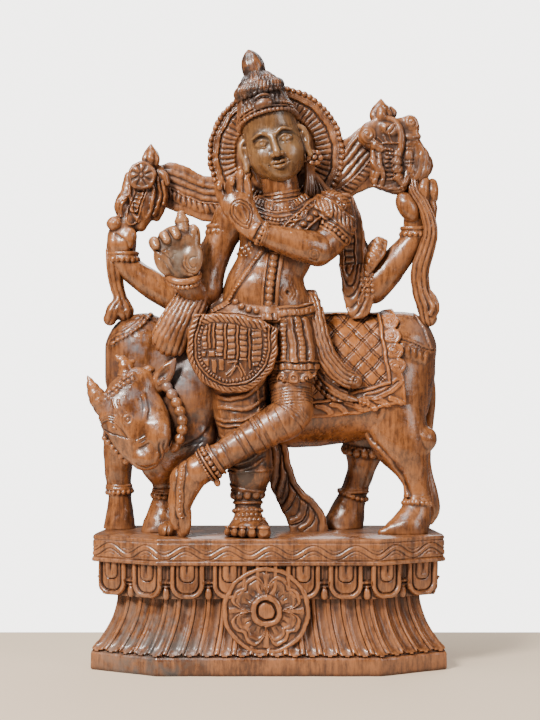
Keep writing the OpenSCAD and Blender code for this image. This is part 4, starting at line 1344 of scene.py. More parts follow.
def right_arm():
    rows = [(-36, -16, 446, 18.5), (-47, -15, 424, 15.8), (-58, -16, 396, 16), (-62, -20, 376, 17)]
    g = around("right_upper_arm", 0.75)
    g.limb(rows)
    cuff(g, -44, -15, 432, 16.4)
    g.wander(0.2, 1.4)
    finish("right_upper_arm", g, skin_wood)

    rows = [(-66, -20, 368, 14), (-74, -32, 374, 13.8), (-80, -39, 383, 12.5), (-82, -41, 390, 11)]
    g = around("right_forearm", 0.65, 12)
    g.limb(rows)
    g.limb(hoop(-83, -43, 392.5, 15.0, 3.4, 0.85, -11), 0.6, steps=2)
    for k in range(22):
        a = 2 * math.pi * k / 22
        g.ball((-82.5 + 15.0 * math.sin(a), -42.5 - 12.8 * math.cos(a), 387
                - 11 * (0.5 + 0.5 * math.cos(a)) ** 1.5), 2.5, 0.3)
    finish("right_forearm", g, skin_wood)

    g = around("right_hand", 0.55, 12)
    g.limb([(-82, -46, 388, 13), (-87, -47, 402, 19), (-89, -47, 416, 21)], flat=0.42)
    g.ball((-74.5, -52, 403), (11, 6.5, 17), 4, tilt=-12)
    g.ball((-101, -52, 404), (10, 6, 16), 4, tilt=14)
    g.ball((-88, -52, 422), (18, 5, 7), 4)
    for x, z, lean in ((-111, 420, -1), (-101.5, 425.5, 0), (-92, 430, 0)):
        g.limb([(x + 7, -45, z - 10, 5.6), (x, -47, z - 1, 5.2), (x + 0.6, -53, z + 1, 4.9),
                (x + 3.4 + lean, -56, z - 3.5, 4.5)], 0.5)
        g.ball((x + 3.0, -59.6, z - 4.2), (2.6, 1.4, 2.8), 0.4)
    g.limb([(-86, -46, 424, 8.0), (-83.5, -46, 434, 7.8), (-84.5, -45, 443, 6.2), (-85, -45, 447, 4.4)], 1.0,
           relief=lambda u, angle, r: 0.6 * np.cos(u * 0.75))
    g.ball((-84.5, -51.0, 443), (3.4, 1.2, 3.6), 0.5)
    g.limb([(-76, -49, 408, 9), (-73, -48, 420, 7.4), (-72, -47, 430, 5.8), (-73, -47, 434, 4.2)], 1.5)
    g.ball((-72, -52.8, 430), (3.2, 1.2, 4.2), 0.5)

    def lines(x, z):
        h = 0
        for k in range(3):
            arc = np.hypot((x + 72) * 1.1, z - 401) - 5.0 - 3.6 * k
            h = h + groove(arc, 0.8, 1.0) * within(z, 384, 410 - 2 * k, 4) * (x < -70)
        u, v = trace(x, z, [(-108, 413), (-96, 404), (-88, 392)])
        h = h + groove(v, 0.8, 1.0)
        u, v = trace(x, z, [(-106, 405), (-97, 397), (-92, 389)])
        h = h + groove(v, 0.7, 0.8)
        r, a = np.hypot(x + 94, z - 411), np.arctan2(z - 411, x + 94)
        return h + groove(r - 4.6 - 1.4 * np.cos(4 * a), 0.6, 0.8)

    g.emboss(lines, y_max=-50)
    finish("right_hand", g, hand_wood)


def left_arm():
    rows = [(61, -17, 450, 22), (67, -20, 438, 18.5), (60, -30, 424, 17), (50, -38, 414, 16)]
    g = around("left_upper_arm", 0.72)
    g.limb(rows)
    g.ball((64, -18, 452), (20, 17, 17), 4)

    def sleeve(x, z):
        h = 0
        u, v = trace(x, z, [(42, 447), (52, 441), (62, 434), (76, 423)])
        h = h + 1.1 * beads(u, v, 5.0, 2.6) + ridge(v - 4.0, 1.3, 1.5) + ridge(v + 4.2, 1.5, 1.6)
        u, v = trace(x, z, [(46, 462), (58, 456), (70, 446), (84, 436)])
        h = h + leaves(u, v, 5.2, 5.6, 2.0, 0.9) + ridge(v - 6.6, 1.3, 1.4) + ridge(v + 6.4, 1.2, 1.2)
        h = h + scroll(x, z, 57, 449, 6.5, 2.0) + scroll(x, z, 72, 458, 6.0, 2.0)
        u, v = trace(x, z, [(52, 474), (66, 470), (80, 458)])
        return h + leaves(u, v, 4.4, 3.6, 1.5, -0.8)

    g.emboss(sleeve, y_max=-14)
    g.wander(0.2)
    finish("left_upper_arm", g, skin_wood)

    rows = [(48, -39, 414, 17), (30, -46, 418, 15.5), (8, -51, 424, 12.5), (-5, -53, 428, 10),
            (-11, -53, 431, 9.2)]
    g = around("left_forearm", 0.62, 12)
    run = Limb(rows).s[-1]
    g.limb(rows, relief=lambda u, angle, r: ridge(u - run + 9, 1.6, 1.9) + ridge(u - run + 0.2, 1.5, 1.8))
    bead_ring(g, rows, run - 4.6, 2.5)
    g.emboss(lambda x, z: groove(np.hypot(x - 44, z - 408) - 5.5, 0.8, 0.7)
             + groove(np.hypot(x - 44, z - 408) - 2.4, 0.8, 0.7),
             y_max=-40)
    g.wander(0.12, 1.8)
    finish("left_forearm", g, skin_wood)

    g = around("left_hand", 0.52, 12)
    g.limb([(-10, -54, 430, 10.5), (-20, -55, 440, 13.5), (-30, -55, 456, 16)], flat=0.55)
    for chain in ([(-42, -54, 458, 5.6), (-47, -55, 469, 5.0), (-47, -58, 476, 3.8)],
                  [(-35, -55, 463, 5.4), (-37, -57, 474, 4.9), (-35, -60, 480, 3.6)],
                  [(-28, -55, 464, 5.2), (-28, -57, 478, 4.6), (-26.5, -59, 487, 3.2)],
                  [(-20, -54, 462, 5.2), (-20.5, -56, 474, 4.4), (-21.5, -57, 482, 3.2)]):
        g.limb(chain, 0.6)
        x, y, z, r = chain[-1]
        g.ball((x, y - r + 0.4, z - 2.5), (r * 0.7, 1.2, 3.6), 0.4)

    def fan(x, z):
        d = outline(x, z, [(-18, 431), (-13.5, 444), (-17, 457), (-26, 462), (-36, 457), (-38, 446),
                           (-29, 435)], 5)
        rays = np.arctan2(z - 430, x + 17)
        lines = 0.6 * np.cos(22 * rays) * within(d, -40, -5.5, 1)
        return np.where(d < 0.6, 0.9 * np.cos(2 * math.pi * d / 2.9) * (d > -6.5) + lines - 0.4, 0)

    g.emboss(fan, y_max=-56)
    finish("left_hand", g, skin_wood)


head()
crown()
halo()
wings()
earrings()
neck()
torso()
right_arm()
left_arm()


# ---- deity: rear arms and what they hold -----------------------------------------------

def rear_right_arm():
    rows = [(-36, 14, 448, 16), (-54, 13, 418, 14), (-69, 12, 390, 15), (-84, 10, 364, 15.5)]
    g = around("rear_right_upper_arm", 0.85)
    g.limb(rows)
    anklet(g, rows, 436, 2.6)
    g.wander(0.2, 1.4)
    finish("rear_right_upper_arm", g, skin_wood)

    rows = [(-82, 9, 362, 15.5), (-102, 8, 372, 15), (-122, 7, 384, 14), (-138, 6, 396, 12.5),
            (-146, 5, 405, 12)]
    g = around("rear_right_forearm", 0.75, 12)
    g.limb(rows)
    cuff(g, -145, 5, 406, 14.5)
    g.wander(0.2, 1.4)
    finish("rear_right_forearm", g, skin_wood)

    g = around("rear_right_hand", 0.6, 14)
    g.limb([(-146, 5, 408, 12), (-147, 4, 420, 15), (-145, 3, 434, 13.5), (-140, 3, 446, 11)], flat=0.85)
    g.ball((-153, -4, 441), (8.2, 9, 7.2), 1.5, tilt=20)
    g.ball((-140, -6, 425), (8.5, 6, 12), 3, tilt=-28)
    g.ball((-154, -2, 422), (6, 8, 9), 3)
    g.limb([(-128, 2, 440, 7), (-122, 2, 456, 11), (-118, 3, 474, 11), (-120, 4, 486, 10)], 3, 0.9)
    g.limb([(-112, 4, 448, 4.5), (-107, 4, 462, 6), (-107, 4, 480, 6.5), (-110, 4, 494, 6)], 3, 1.1)
    g.limb([(-139, 2, 448, 6), (-146, 1, 458, 8), (-141, 2, 472, 7), (-139, 3, 488, 5)], 2, 1.0)
    g.limb([(-134, 3, 450, 8), (-133, 3, 466, 8), (-130, 3, 484, 8)], 2, 0.8)

    def hang(x, z):
        h = 0
        ladder, v = trace(x, z, [(-126, 482), (-128, 470), (-133, 456), (-136, 446)])
        panel = within(v, -4.4, 4.4, 0.8) * within(ladder, 1, 32, 1)
        h = h + panel * (1.4 + pleats(ladder, 4.6, 1.5)) + (ridge(v - 5.8, 1.1, 1.7)
                                                            + ridge(v + 5.8, 1.1, 1.7))
        for line in ([(-137, 480), (-138, 470), (-136, 462), (-135, 452), (-129, 443)],
                     [(-116, 484), (-114, 472), (-116, 458), (-120, 446)],
                     [(-110, 486), (-108, 472), (-109, 460), (-114, 450)],
                     [(-105, 482), (-103, 470), (-104, 460)]):
            u, v = trace(x, z, line)
            h = h + ridge(v, 2.0, 2.2)
        for k in range(3):
            u, v = trace(x, z, [(-140 - k * 0.6, 470 - 2 * k), (-148 + 2 * k, 466 - 2 * k),
                                (-152.5 + 3 * k, 456), (-150 + 2 * k, 448)])
            h = h + ridge(v, 1.5, 1.5)
        u, v = trace(x, z, [(-158, 438), (-152, 446), (-146, 442)])
        h = h + groove(v, 0.8, 0.8)
        u, v = trace(x, z, [(-152, 430), (-142, 424), (-136, 414)])
        return h + groove(v, 1.0, 0.9)

    g.emboss(hang, y_max=2)
    g.wander(0.25, 1.2)
    finish("rear_right_hand", g, skin_wood)


def bud(g, x, y, z, width, height):
    """A pointed lotus bud of overlapping petals, its foot at (x, y, z)."""
    w = width / 2
    g.limb([(x, y, z, w * 0.82), (x, y, z + 0.25 * height, w * 0.98), (x, y, z + 0.55 * height, w * 0.62),
            (x, y, z + 0.95 * height, 0.9)], 0.8)
    for side in (-1, 1):
        g.limb([(x + side * w * 0.45, y - w * 0.45, z, w * 0.42),
                (x + side * w * 0.55, y - w * 0.45, z + 0.26 * height, w * 0.44),
                (x + side * w * 0.30, y - w * 0.30, z + 0.66 * height, w * 0.16)], 0.4)
    g.limb([(x, y - w * 0.75, z - 0.02 * height, w * 0.40), (x, y - w * 0.85, z + 0.28 * height, w * 0.46),
            (x, y - w * 0.35, z + 0.74 * height, w * 0.12)], 0.4)


def discus():
    g = around("discus", 0.5, 12)
    cx, cz = -125.5, 488.0

    def height(x, z):
        r, a = np.hypot(x - cx, z - cz), np.arctan2(z - cz, x - cx)
        petal = np.clip(np.abs(np.cos(4 * a)) - 0.30, 0, 1) ** 0.6
        bulge = within(r, 3.2, 11.4, 0.9) * (0.4 + 0.6 * np.sin(np.clip((r - 3) / 9, 0, 1) * math.pi))
        return (2.0 * petal * bulge + ridge(r - 12.6, 1.8, 1.3) + ridge(r, 2.2, 1.6)
                + 2.4 * np.sqrt(np.clip(1 - (r / 15) ** 2, 0, 1)) - 2.0)

    g.slab(-12.5, 4, lambda x, z: np.hypot(x - cx, z - cz) - 14.2, height, edge=1.6)
    bud(g, -117, 0, 501, 18, 20)
    g.limb([(-110, 1, 494, 3), (-104, 0, 489, 4), (-101, 0, 481, 3)], 1)
    g.wander(0.15)
    finish("discus", g, dress_wood)


def rear_left_arm():
    rows = [(68, 14, 448, 17), (84, 13, 418, 15.5), (96, 11, 394, 16.5), (103, 9, 379, 17)]
    g = around("rear_left_upper_arm", 0.7, 12)
    g.limb(rows)
    g.limb([(108, 2, 419, 8), (103, -1, 410, 8.5), (98, -2, 399, 7.5), (97, -3, 386, 6.5), (97, -2, 372, 7),
            (98, 1, 363, 6)], 1.5)
    g.limb([(110, -3, 422, 6), (107, -6, 412, 7.4), (102, -7, 402, 6.4), (98, -6, 393, 4.5)], 0.8,
           relief=lambda u, angle, r: 1.3 * np.abs(np.sin(0.62 * u + 1.3 * angle)) ** 0.6 - 0.6)
    g.limb([(116, -4, 423, 2.6), (114, -8, 413, 2.8), (107, -11, 402, 2.6), (100, -9, 393, 2)], 0.5)
    for k in range(3):
        dx = 4.9 * k
        g.string([(102.5 - dx, 393), (103 - dx, 382), (103.5 - dx, 370), (102 - dx, 361)], 5.4, 2.6, -0.15,
                 0.2)
    g.wander(0.2, 1.4)
    finish("rear_left_upper_arm", g, skin_wood)

    rows = [(104, 8, 378, 17), (116, 7, 391, 16.5), (130, 6, 407, 14), (142, 5, 422, 12), (147, 5, 429, 12)]
    g = around("rear_left_forearm", 0.75, 12)
    g.limb(rows)
    cuff(g, 146, 5, 431, 13.2)
    g.wander(0.2, 1.4)
    finish("rear_left_forearm", g, skin_wood)

    g = around("rear_left_hand", 0.6, 14)
    g.limb([(147, 5, 430, 11), (146, 3, 442, 11.5), (148, 2, 456, 12), (151, 2, 470, 12), (147, 3, 484, 9)],
           flat=0.9)
    g.ball((138.0, -6, 457.5), (10.2, 10, 16.5), 1.5, tilt=28)
    g.limb([(137, 1, 474, 7), (143, 1, 466, 8), (150, 1, 478, 8)], 2)
    g.limb([(155, -5, 466, 5.6), (153.5, -8, 474, 6.2), (155, -6, 482, 5.6)], 1)
    g.limb([(164, -3, 467, 5.2), (163.5, -5, 474, 5.8), (163, -3, 481, 5.0)], 1)
    g.limb([(160, -2, 468, 4.6), (163, -3, 456, 5.0), (162, -2, 444, 4.4)], 1)

    def folds(x, z):
        h = 0
        for line in ([(155, 463), (155.5, 468), (156, 473)], [(163.5, 464), (164, 469)]):
            u, v = trace(x, z, line)
            h = h + ridge(v, 1.2, 0.7) * (u < 10)
        u, v = trace(x, z, [(146, 466), (150, 457), (150, 447)])
        return h + groove(v, 1.1, 1.2)

    g.emboss(folds, y_max=0)
    g.wander(0.2, 1.3)
    finish("rear_left_hand", g, skin_wood)


def conch():
    g = around("conch", 0.55, 14)
    group = [(89, 529), (92, 519), (103, 512), (101, 496), (103, 481), (113, 474), (127, 470), (136, 474),
             (142, 482), (153, 483), (162, 492), (162, 503), (156, 516), (150, 526), (149, 540), (143, 548),
             (132, 546), (126, 546), (113, 549), (100, 543), (93, 538)]
    g.slab(-12, 11, lambda x, z: outline(x, z, group, 5), None, edge=5.5, back=0.0)
    bud(g, 112, 1, 543, 23, 23)
    g.limb([(121, 1, 545, 4), (124, 1, 551, 4), (122, 2, 556, 2.4)], 1)
    g.ball((99, -8, 528), (9.5, 7, 8.5), 1.5, tilt=-35)
    g.limb([(106, -11, 518, 5.2), (112, -10, 514, 4.6)], 0.8)
    g.limb([(104, -9, 512, 3.2), (104, -12, 502, 3.4), (108, -13, 492, 3.2), (105, -11, 481, 3.0)], 0.8)
    g.limb([(110, -10, 511, 2.6), (110, -13, 500, 2.8), (113.5, -13, 489, 2.6), (112, -11, 479, 2.8)], 0.8)
    g.ball((119, -10, 534), (11, 6.5, 6.5), 2, tilt=-24)
    g.ball((120.5, -15.8, 534), (7.6, 2.6, 3.6), 0.6, tilt=52, cut=True)
    g.ball((120.5, -13.2, 534), (6.2, 2.4, 2.6), 0.5, tilt=52)
    g.limb([(116, -10, 545, 3), (126, -11, 541, 3.2), (131, -13, 530, 3.6), (131, -13, 516, 3.6),
            (129, -12, 508, 3)], 1)

    def rings(u, angle, r):
        return groove(np.mod(u, 7.6) - 3.8, 1.1, 1.3) + 0.4

    g.limb([(127.5, -12, 509, 4.6), (127, -13.5, 498, 5.2), (128.5, -12, 486, 4.6)], 0.8, relief=rings)
    g.limb([(128, -11, 486, 3.6), (133, -12, 480, 3.8), (137, -11, 486, 3.4), (136.5, -10, 492, 2.6)], 0.8)
    g.limb([(139, -8, 519, 5.2), (139.5, -9, 504, 5.8), (141, -8, 488, 5)], 1,
           relief=lambda u, angle, r: groove(np.mod(u, 13) - 3, 0.9, 1.3)
           + groove(np.mod(u, 13) - 6, 0.9, 1.3))
    g.ball((140.5, -5, 540), (8.6, 8.5, 8.4), 1.5)
    g.limb([(134, -9, 528, 3.4), (141, -11, 526, 3.8), (148, -8, 527, 3.2)], 0.8)
    g.limb([(135, -8, 521.5, 2.8), (142, -10, 520, 3.2), (149, -7, 521, 2.8)], 0.8)
    for k in range(3):
        g.limb([(147 - k, -6 - k, 520 - 2 * k, 2.6), (156 - 2.6 * k, -7 - k, 510 - 2 * k, 3.0),
                (161.5 - 3.4 * k, -6 - k, 498, 2.8), (156 - 2.6 * k, -6 - k, 487 + 2 * k, 2.6)], 0.7)

    def cuts(x, z):
        h = scroll(x, z, 98.5, 528, 8.5, 2.0, 2.0) + scroll(x, z, 141, 540.5, 8.0, 1.9, 1.7, -1)
        ladder, v = trace(x, z, [(119.5, 516), (119, 500), (121, 482)])
        h = h + within(v, -4.2, 4.2, 0.7) * (pleats(ladder, 4.2, 2.2) - 0.6) * within(ladder, 0, 34, 1)
        for k in range(4):
            u, v = trace(x, z, [(104 + 5 * k, 524 + 1.5 * k), (110 + 4 * k, 519 + k), (118 + 3 * k, 520)])
            h = h + ridge(v, 1.1, 1.0) * (u < 18)
        u, v = trace(x, z, [(106, 474), (118, 470), (130, 472)])
        h = h + ridge(v - 4, 1.5, 1.5)
        return h + groove(np.mod(np.hypot(x - 112, (z - 512) * 0.8) + 1.2, 5.2) - 2.6, 0.7, 0.5) * (z < 520)

    g.emboss(cuts, y_max=-2)
    g.wander(0.2)
    finish("conch", g, dress_wood)


def ribbons():
    def strands(number, depth=1.2):
        return lambda u, angle, r: depth * (np.abs(np.sin(number * angle + 0.5)) ** 0.6 - 0.5)

    g = around("right_ribbon", 0.65, 14)
    g.limb([(-156, 4, 414, 6), (-154, 4, 398, 7.5), (-152, 6, 380, 6.5), (-148, 8, 366, 6),
            (-145, 8, 354, 9.5)],
           flat=0.9, relief=strands(3.5, 1.9))
    g.limb([(-150, 5, 364, 4), (-155, 4, 356, 6), (-158.5, 4, 346, 6.2)], 4, relief=strands(2.5, 1.4))
    g.wander(0.2)
    finish("right_ribbon", g, dress_wood)

    g = around("left_ribbon", 0.65, 14)
    g.limb([(143, -6, 486, 4), (145, -8, 473, 5), (153, -9, 460, 5.4), (159.5, -8, 444, 6),
            (161, -7, 430, 6.4),
            (157, -3, 414, 7.6), (151.5, 1, 394, 8.4), (153, 3, 374, 8.4), (158, 4, 360, 9),
            (160, 5, 347, 8)],
           relief=strands(4.5, 2.2))
    g.limb([(160, 0, 374, 2.4), (165, -1, 366, 3.4), (167, 0, 356, 3.8), (163, 0, 347, 3.4)], 0.5,
           relief=strands(2.5, 0.8))
    g.limb([(160, -3, 366, 2.0), (163.5, -5, 358, 2.6), (161, -5, 351, 2.2)], 0.4)
    g.wander(0.2)
    finish("left_ribbon", g, dress_wood)


# ---- deity: dress ----------------------------------------------------------------------

def shell(g, inside, thick, height, back=-18.0):
    """Keeps a skin of the form in g, thick on its surface, where inside(x, z) is negative."""
    win, X, Y, Z = g.window()
    x, z = X[:, 0, :], Z[:, 0, :]
    raised = g.d - thick - height(x, z)[:, None, :]
    g.d = smax(smax(raised, np.broadcast_to(inside(x, z)[:, None, :], g.d.shape), 1.0), Y - back, 1.0)


def garland():
    g = around("chest_garland", 0.5, 6)
    body_form(g)
    line = [(7, 416), (5.5, 402), (3, 384), (1.5, 368), (1.0, 350), (0.2, 334)]

    def height(x, z):
        u, v = trace(x, z, line)
        return (ridge(v + 7.2, 1.2, 1.3) + 1.1 * beads(u, v + 0.6, 6.6, 4.3) + ridge(v - 6.6, 2.3, 1.9)
                + groove(v - 4.0, 0.7, 0.7) - 0.3)

    def inside(x, z):
        u, v = trace(x, z, line)
        return np.maximum(np.abs(v) - 8.6, np.maximum(z - 411, 346 - z))

    shell(g, inside, 1.8, height, -30)
    g.limb([(1.4, -46, 356, 7.6), (1.0, -49.5, 349, 7.8), (0.6, -51, 342, 7.4), (0.2, -50.5, 337, 4.5)], 0.6,
           0.45)
    g.emboss(lambda x, z: height(x, z) * (z < 352), y_max=-44)
    g.wander(0.12)
    finish("chest_garland", g, dress_wood)


def belt():
    g = around("belt", 0.6, 8)
    g.limb([(-54, -18, 352, 9), (-30, -40, 352, 9), (4, -46, 350, 8.5), (28, -38, 352, 7.5),
            (44, -20, 356, 7)], flat=0.7)
    g.limb([(-35, -18, 375, 5), (-43, -20, 367, 8), (-52, -22, 355, 9)], 3, 0.8,
           relief=lambda u, angle, r: 0.7 * np.cos(9 * angle))

    def work(x, z):
        h = 0
        u, v = trace(x, z, [(-56, 349), (-34, 349), (-14, 345), (4, 343.5), (9, 344.5)])
        h = h + ridge(v, 1.3, 1.6) + ridge(v - 3.2, 1.0, 1.0)
        u, v = trace(x, z, [(10, 345), (28, 346), (50, 350)])
        h = h + (ridge(v, 1.3, 1.5) + ridge(v - 12.5, 1.5, 1.7)
                 + within(v, 3.0, 10.0, 0.8) * (0.8 + pleats(u, 4.6, 1.3))) * (x > 9.5)
        u, v = trace(x, z, [(-22, 381), (-31, 370), (-44, 360), (-60, 351)])
        return h + within(v, -2.8, 2.8, 0.7) * (0.7 + pleats(u, 3.5, 1.4))

    g.emboss(work, y_max=-20)
    for x, z in ((-32, 362.5), (-26, 358.0), (-19, 355.0), (-11.5, 353.5)):
        y = g.front(x, z - 2)
        g.ball((x, (y or -46) + 0.5, z), 3.3, 0.4)
    g.wander(0.15)
    finish("belt", g, dress_wood)


def apron():
    g = around("apron", 0.5, 7)
    low, high = box_mm("apron")
    cx, cz, big = -35.0, 318.0, 44.0

    def rim(x, z):
        """Distance in from the apron's edge, its length along it and the edge itself."""
        r, a = np.hypot(x - cx, z - cz), np.arctan2(z - cz, x - cx)
        upper = z > cz
        d = np.where(upper & (x > cx), 9.0 - x,
                     np.where(upper, big - np.hypot(x - cx, (z - cz) * 0.72), big - r))
        along = np.where(upper & (x > cx), z - cz, big * a)
        return d, along

    def inside(x, z):
        d, along = rim(x, z)
        return np.maximum(-d, z - 351 + 0.006 * np.maximum(x + 40, 0) ** 2)

    def height(x, z):
        d, along = rim(x, z)
        dome = 3.0 * (1 - np.clip(np.hypot(x - cx, z - cz) / 48, 0, 1) ** 2)
        rope = np.abs(np.sin(math.pi * (along + 1.3 * d) / 5.6)) ** 0.6
        h = within(d, 0.6, 6.4, 0.7) * (0.5 + 2.1 * rope) + ridge(d - 8.3, 1.1, 1.6)
        h = h + 0.9 * beads(along, d - 11.6, 4.6, 1.8) * ((z < 341) & (x > -68))
        fan_u, fan_v = trace(x, z, [(-66, 344), (-46, 347), (-24, 343), (8, 336)])
        below = within(fan_v, -90, -4.4, 0.7) * within(d, 13.8, 60, 0.5)
        bars = 0
        for bx, foot in ((-57, 317), (-52.8, 317), (-41.5, 307), (-29.8, 306), (-18.2, 298), (-66, 318)):
            bars = bars + ridge(x - bx, 1.2, 2.2) * within(z, foot, 350, 0.6)
        for left, right, pitch, foot, lift in ((-50.6, -43.4, 5.6, 310, 0), (-39.5, -31.8, 6.3, 307, 2),
                                               (-27.8, -20.2, 5.4, 306, 1), (-16, -6.2, 5.9, 300, 3),
                                               (-64.0, -59.0, 5.2, 317, 2), (-73, -68, 5.0, 320, 0)):
            bars = bars + (within(x, left, right, 0.6) * within(z, foot, 350, 0.6)
                           * np.abs(np.sin(math.pi * (z - lift) / pitch)) ** 0.55 * 1.9)
        for left, right, foot, top in ((-66, -60, 309, 315), (-58, -51, 309, 315), (-66, -57, 300, 307),
                                       (-55, -50, 292, 307),
                                       (-48.5, -43, 296, 308)):
            bars = bars + within(x, left, right, 0.8) * within(z, foot, top, 0.8) * 1.7
        for line in ([(-29.8, 306), (-33, 300), (-41, 292)], [(-40, 304), (-34, 304), (-29, 305)],
                     [(-27.5, 303), (-24.5, 296), (-21, 289)], [(-38.5, 290), (-30, 300), (-25, 288)],
                     [(-16, 297), (-19, 290), (-22, 286)]):
            u, v = trace(x, z, line)
            bars = bars + ridge(v, 1.1, 1.5) * (u > 0.2) * (u < lengths(spline(line, 5))[-1] - 0.2)
        leaf = leaves(fan_u, fan_v, 5.4, 4.4, 2.2, 0.9) * (d > 7.5)
        return h + dome + bars * below + leaf * within(z, 330, 360)

    g.slab(low[1] + 3.6, high[1] + 6, inside, height, edge=1.4)
    g.wander(0.12)
    finish("apron", g, dress_wood)


def skirt():
    g = around("skirt", 0.6, 10)
    g.limb([(16, -20, 342, 29), (22, -24, 320, 27), (25, -29, 302, 25), (26, -32, 284, 24.5)], flat=0.95)
    win, X, Y, Z = g.window()
    g.d = smax(g.d, 283.5 + 1.6 * np.abs(np.sin(math.pi * (X - 5.6) / 12.9)) + 0.02 * (X - 24) ** 2 - Z, 1.5)

    def cloth(x, z):
        h = 0
        for line, wide, tall in (([(14, 346), (14, 320), (14, 300)], 3.6, 1.6),
                                 ([(20, 346), (23.5, 322), (25, 300)], 4.0, 2.4),
                                 ([(28, 346), (32.5, 322), (34, 300)], 3.4, 2.0),
                                 ([(36, 346), (41, 324), (43, 302)], 3.2, 2.0),
                                 ([(6, 340), (6, 318), (7, 300)], 2.4, 1.6)):
            u, v = trace(x, z, line)
            h = h + ridge(v, wide, tall) * (z > 304)
            if wide in (3.6, 3.4):
                h = h + within(v, -wide, wide, 0.6) * pleats(u, 4.4, 1.3) * (z > 305)
        h = h + ridge(z - 304.8, 0.9, 1.1)
        blocks = np.abs(np.sin(math.pi * (x - 9.5) / 7.0)) ** 0.45 * within(z, 296.4, 302.6, 0.6)
        h = h + 1.9 * blocks + ridge(z - 294.9, 0.8, 0.9)
        for cx in (-1, 12.0, 25.0, 37.5, 48):
            r = np.hypot(x - cx, z - 288.2)
            h = (h + 2.2 * np.sqrt(np.clip(1 - (r / 6.4) ** 2, 0, 1)) + ridge(r - 3.6, 0.9, 0.9)
                 + groove(r - 2.0, 0.6, 1.0))
        return h

    g.emboss(cloth, y_max=-26)
    g.wander(0.15)
    finish("skirt", g, dress_wood)


def hip_sash():
    rows = [(41, -12, 370, 7.5), (44, -20, 358, 8.5), (48, -26, 334, 9.5), (56, -29, 309, 10.5),
            (70, -30, 291, 9.5), (84, -28, 284.5, 7.5)]
    g = around("hip_sash", 0.6, 9)
    g.limb(rows, flat=0.75)
    under = [(42, -18, 322, 6), (48, -22, 300, 7), (60, -24, 281, 7.5), (74, -24, 270, 7),
             (84, -22, 266, 5.5)]
    g.limb(under, 0.5, 0.8, relief=lambda u, angle, r: 0.9 * np.cos(3 * angle))
    for k in range(7):                                      # leaf lobes of the lower layer
        s = k / 7
        x, z = 44 + 34 * s, 306 - 40 * s ** 0.7
        g.limb([(x + 2, -25, z + 2, 3.0), (x - 3, -25, z - 6, 3.0), (x - 4, -23, z - 12, 1.6)], 0.6)

    def flow(x, z):
        u, v = trace(x, z, [(r[0], r[2]) for r in rows])
        h = 2.0 * (np.abs(np.sin(math.pi * (v + 0.5) / 4.2)) ** 0.55 - 0.4) * (u < 100)
        return h + scroll(x, z, 86, 285.5, 7.0, 2.6, 1.6, -1)

    g.emboss(flow, y_max=-18)
    g.wander(0.2)
    finish("hip_sash", g, dress_wood)


def shoulder_sash():
    g = around("shoulder_sash", 0.6, 6)
    low, high = box_mm("shoulder_sash")
    edge = [(68, 470), (82, 470), (92, 448), (97, 422), (101, 398), (104, 374), (101, 352), (86, 346),
            (77, 358),
            (72, 388), (69, 420), (66, 448)]

    def height(x, z):
        u, v = trace(x, z, [(77, 472), (79, 450), (80, 426), (80.5, 400)])
        upper = z > 400
        h = upper * (within(v, -4.6, 4.6, 0.7) * pleats(u, 6.4, 1.9) + ridge(v - 6.2, 1.2, 1.9)
                     + ridge(v + 6.2, 1.2, 1.9)
                     + ridge(v - 13.5, 1.3, 1.3) * (z < 446))
        drop = np.hypot(x - 80.5, (z - 400) * 0.36)
        h = h + (~upper) * (2.2 * np.abs(np.sin(math.pi * (drop + 0.3) / 3.9)) ** 0.6) * within(drop, -1, 24)
        tail_u, tail_v = trace(x, z, [(103, 398), (101, 380), (92, 362)])
        return h + ridge(tail_v + 3.4, 1.1, 1.2) * (~upper) - 0.6

    g.slab(low[1] + 5, high[1], lambda x, z: outline(x, z, edge, 5), height, edge=2.6)
    g.wander(0.2)
    finish("shoulder_sash", g, dress_wood)


def arm_drapery():
    rows = [(-68, -28, 380, 11), (-76, -31, 362, 16), (-86, -33, 343, 19), (-95, -33, 328, 18.5)]
    g = around("arm_drapery", 0.65, 10)
    g.limb(rows, flat=0.62)

    def folds(x, z):
        u, v = trace(x, z, [(-64, 392), (-74, 362), (-88, 330), (-103, 290)])
        spread = 1.0 + u / 115
        h = 1.9 * (np.abs(np.sin(math.pi * v / (3.5 * spread))) ** 0.55 - 0.4)
        u, v = trace(x, z, [(-60, 384), (-70, 374), (-84, 370)])
        return h + leaves(u, v + 4, 4.6, 4.2, 1.6, 0.6) * (z > 358)

    g.emboss(folds, y_max=-20)
    g.wander(0.2)
    finish("arm_drapery", g, dress_wood)


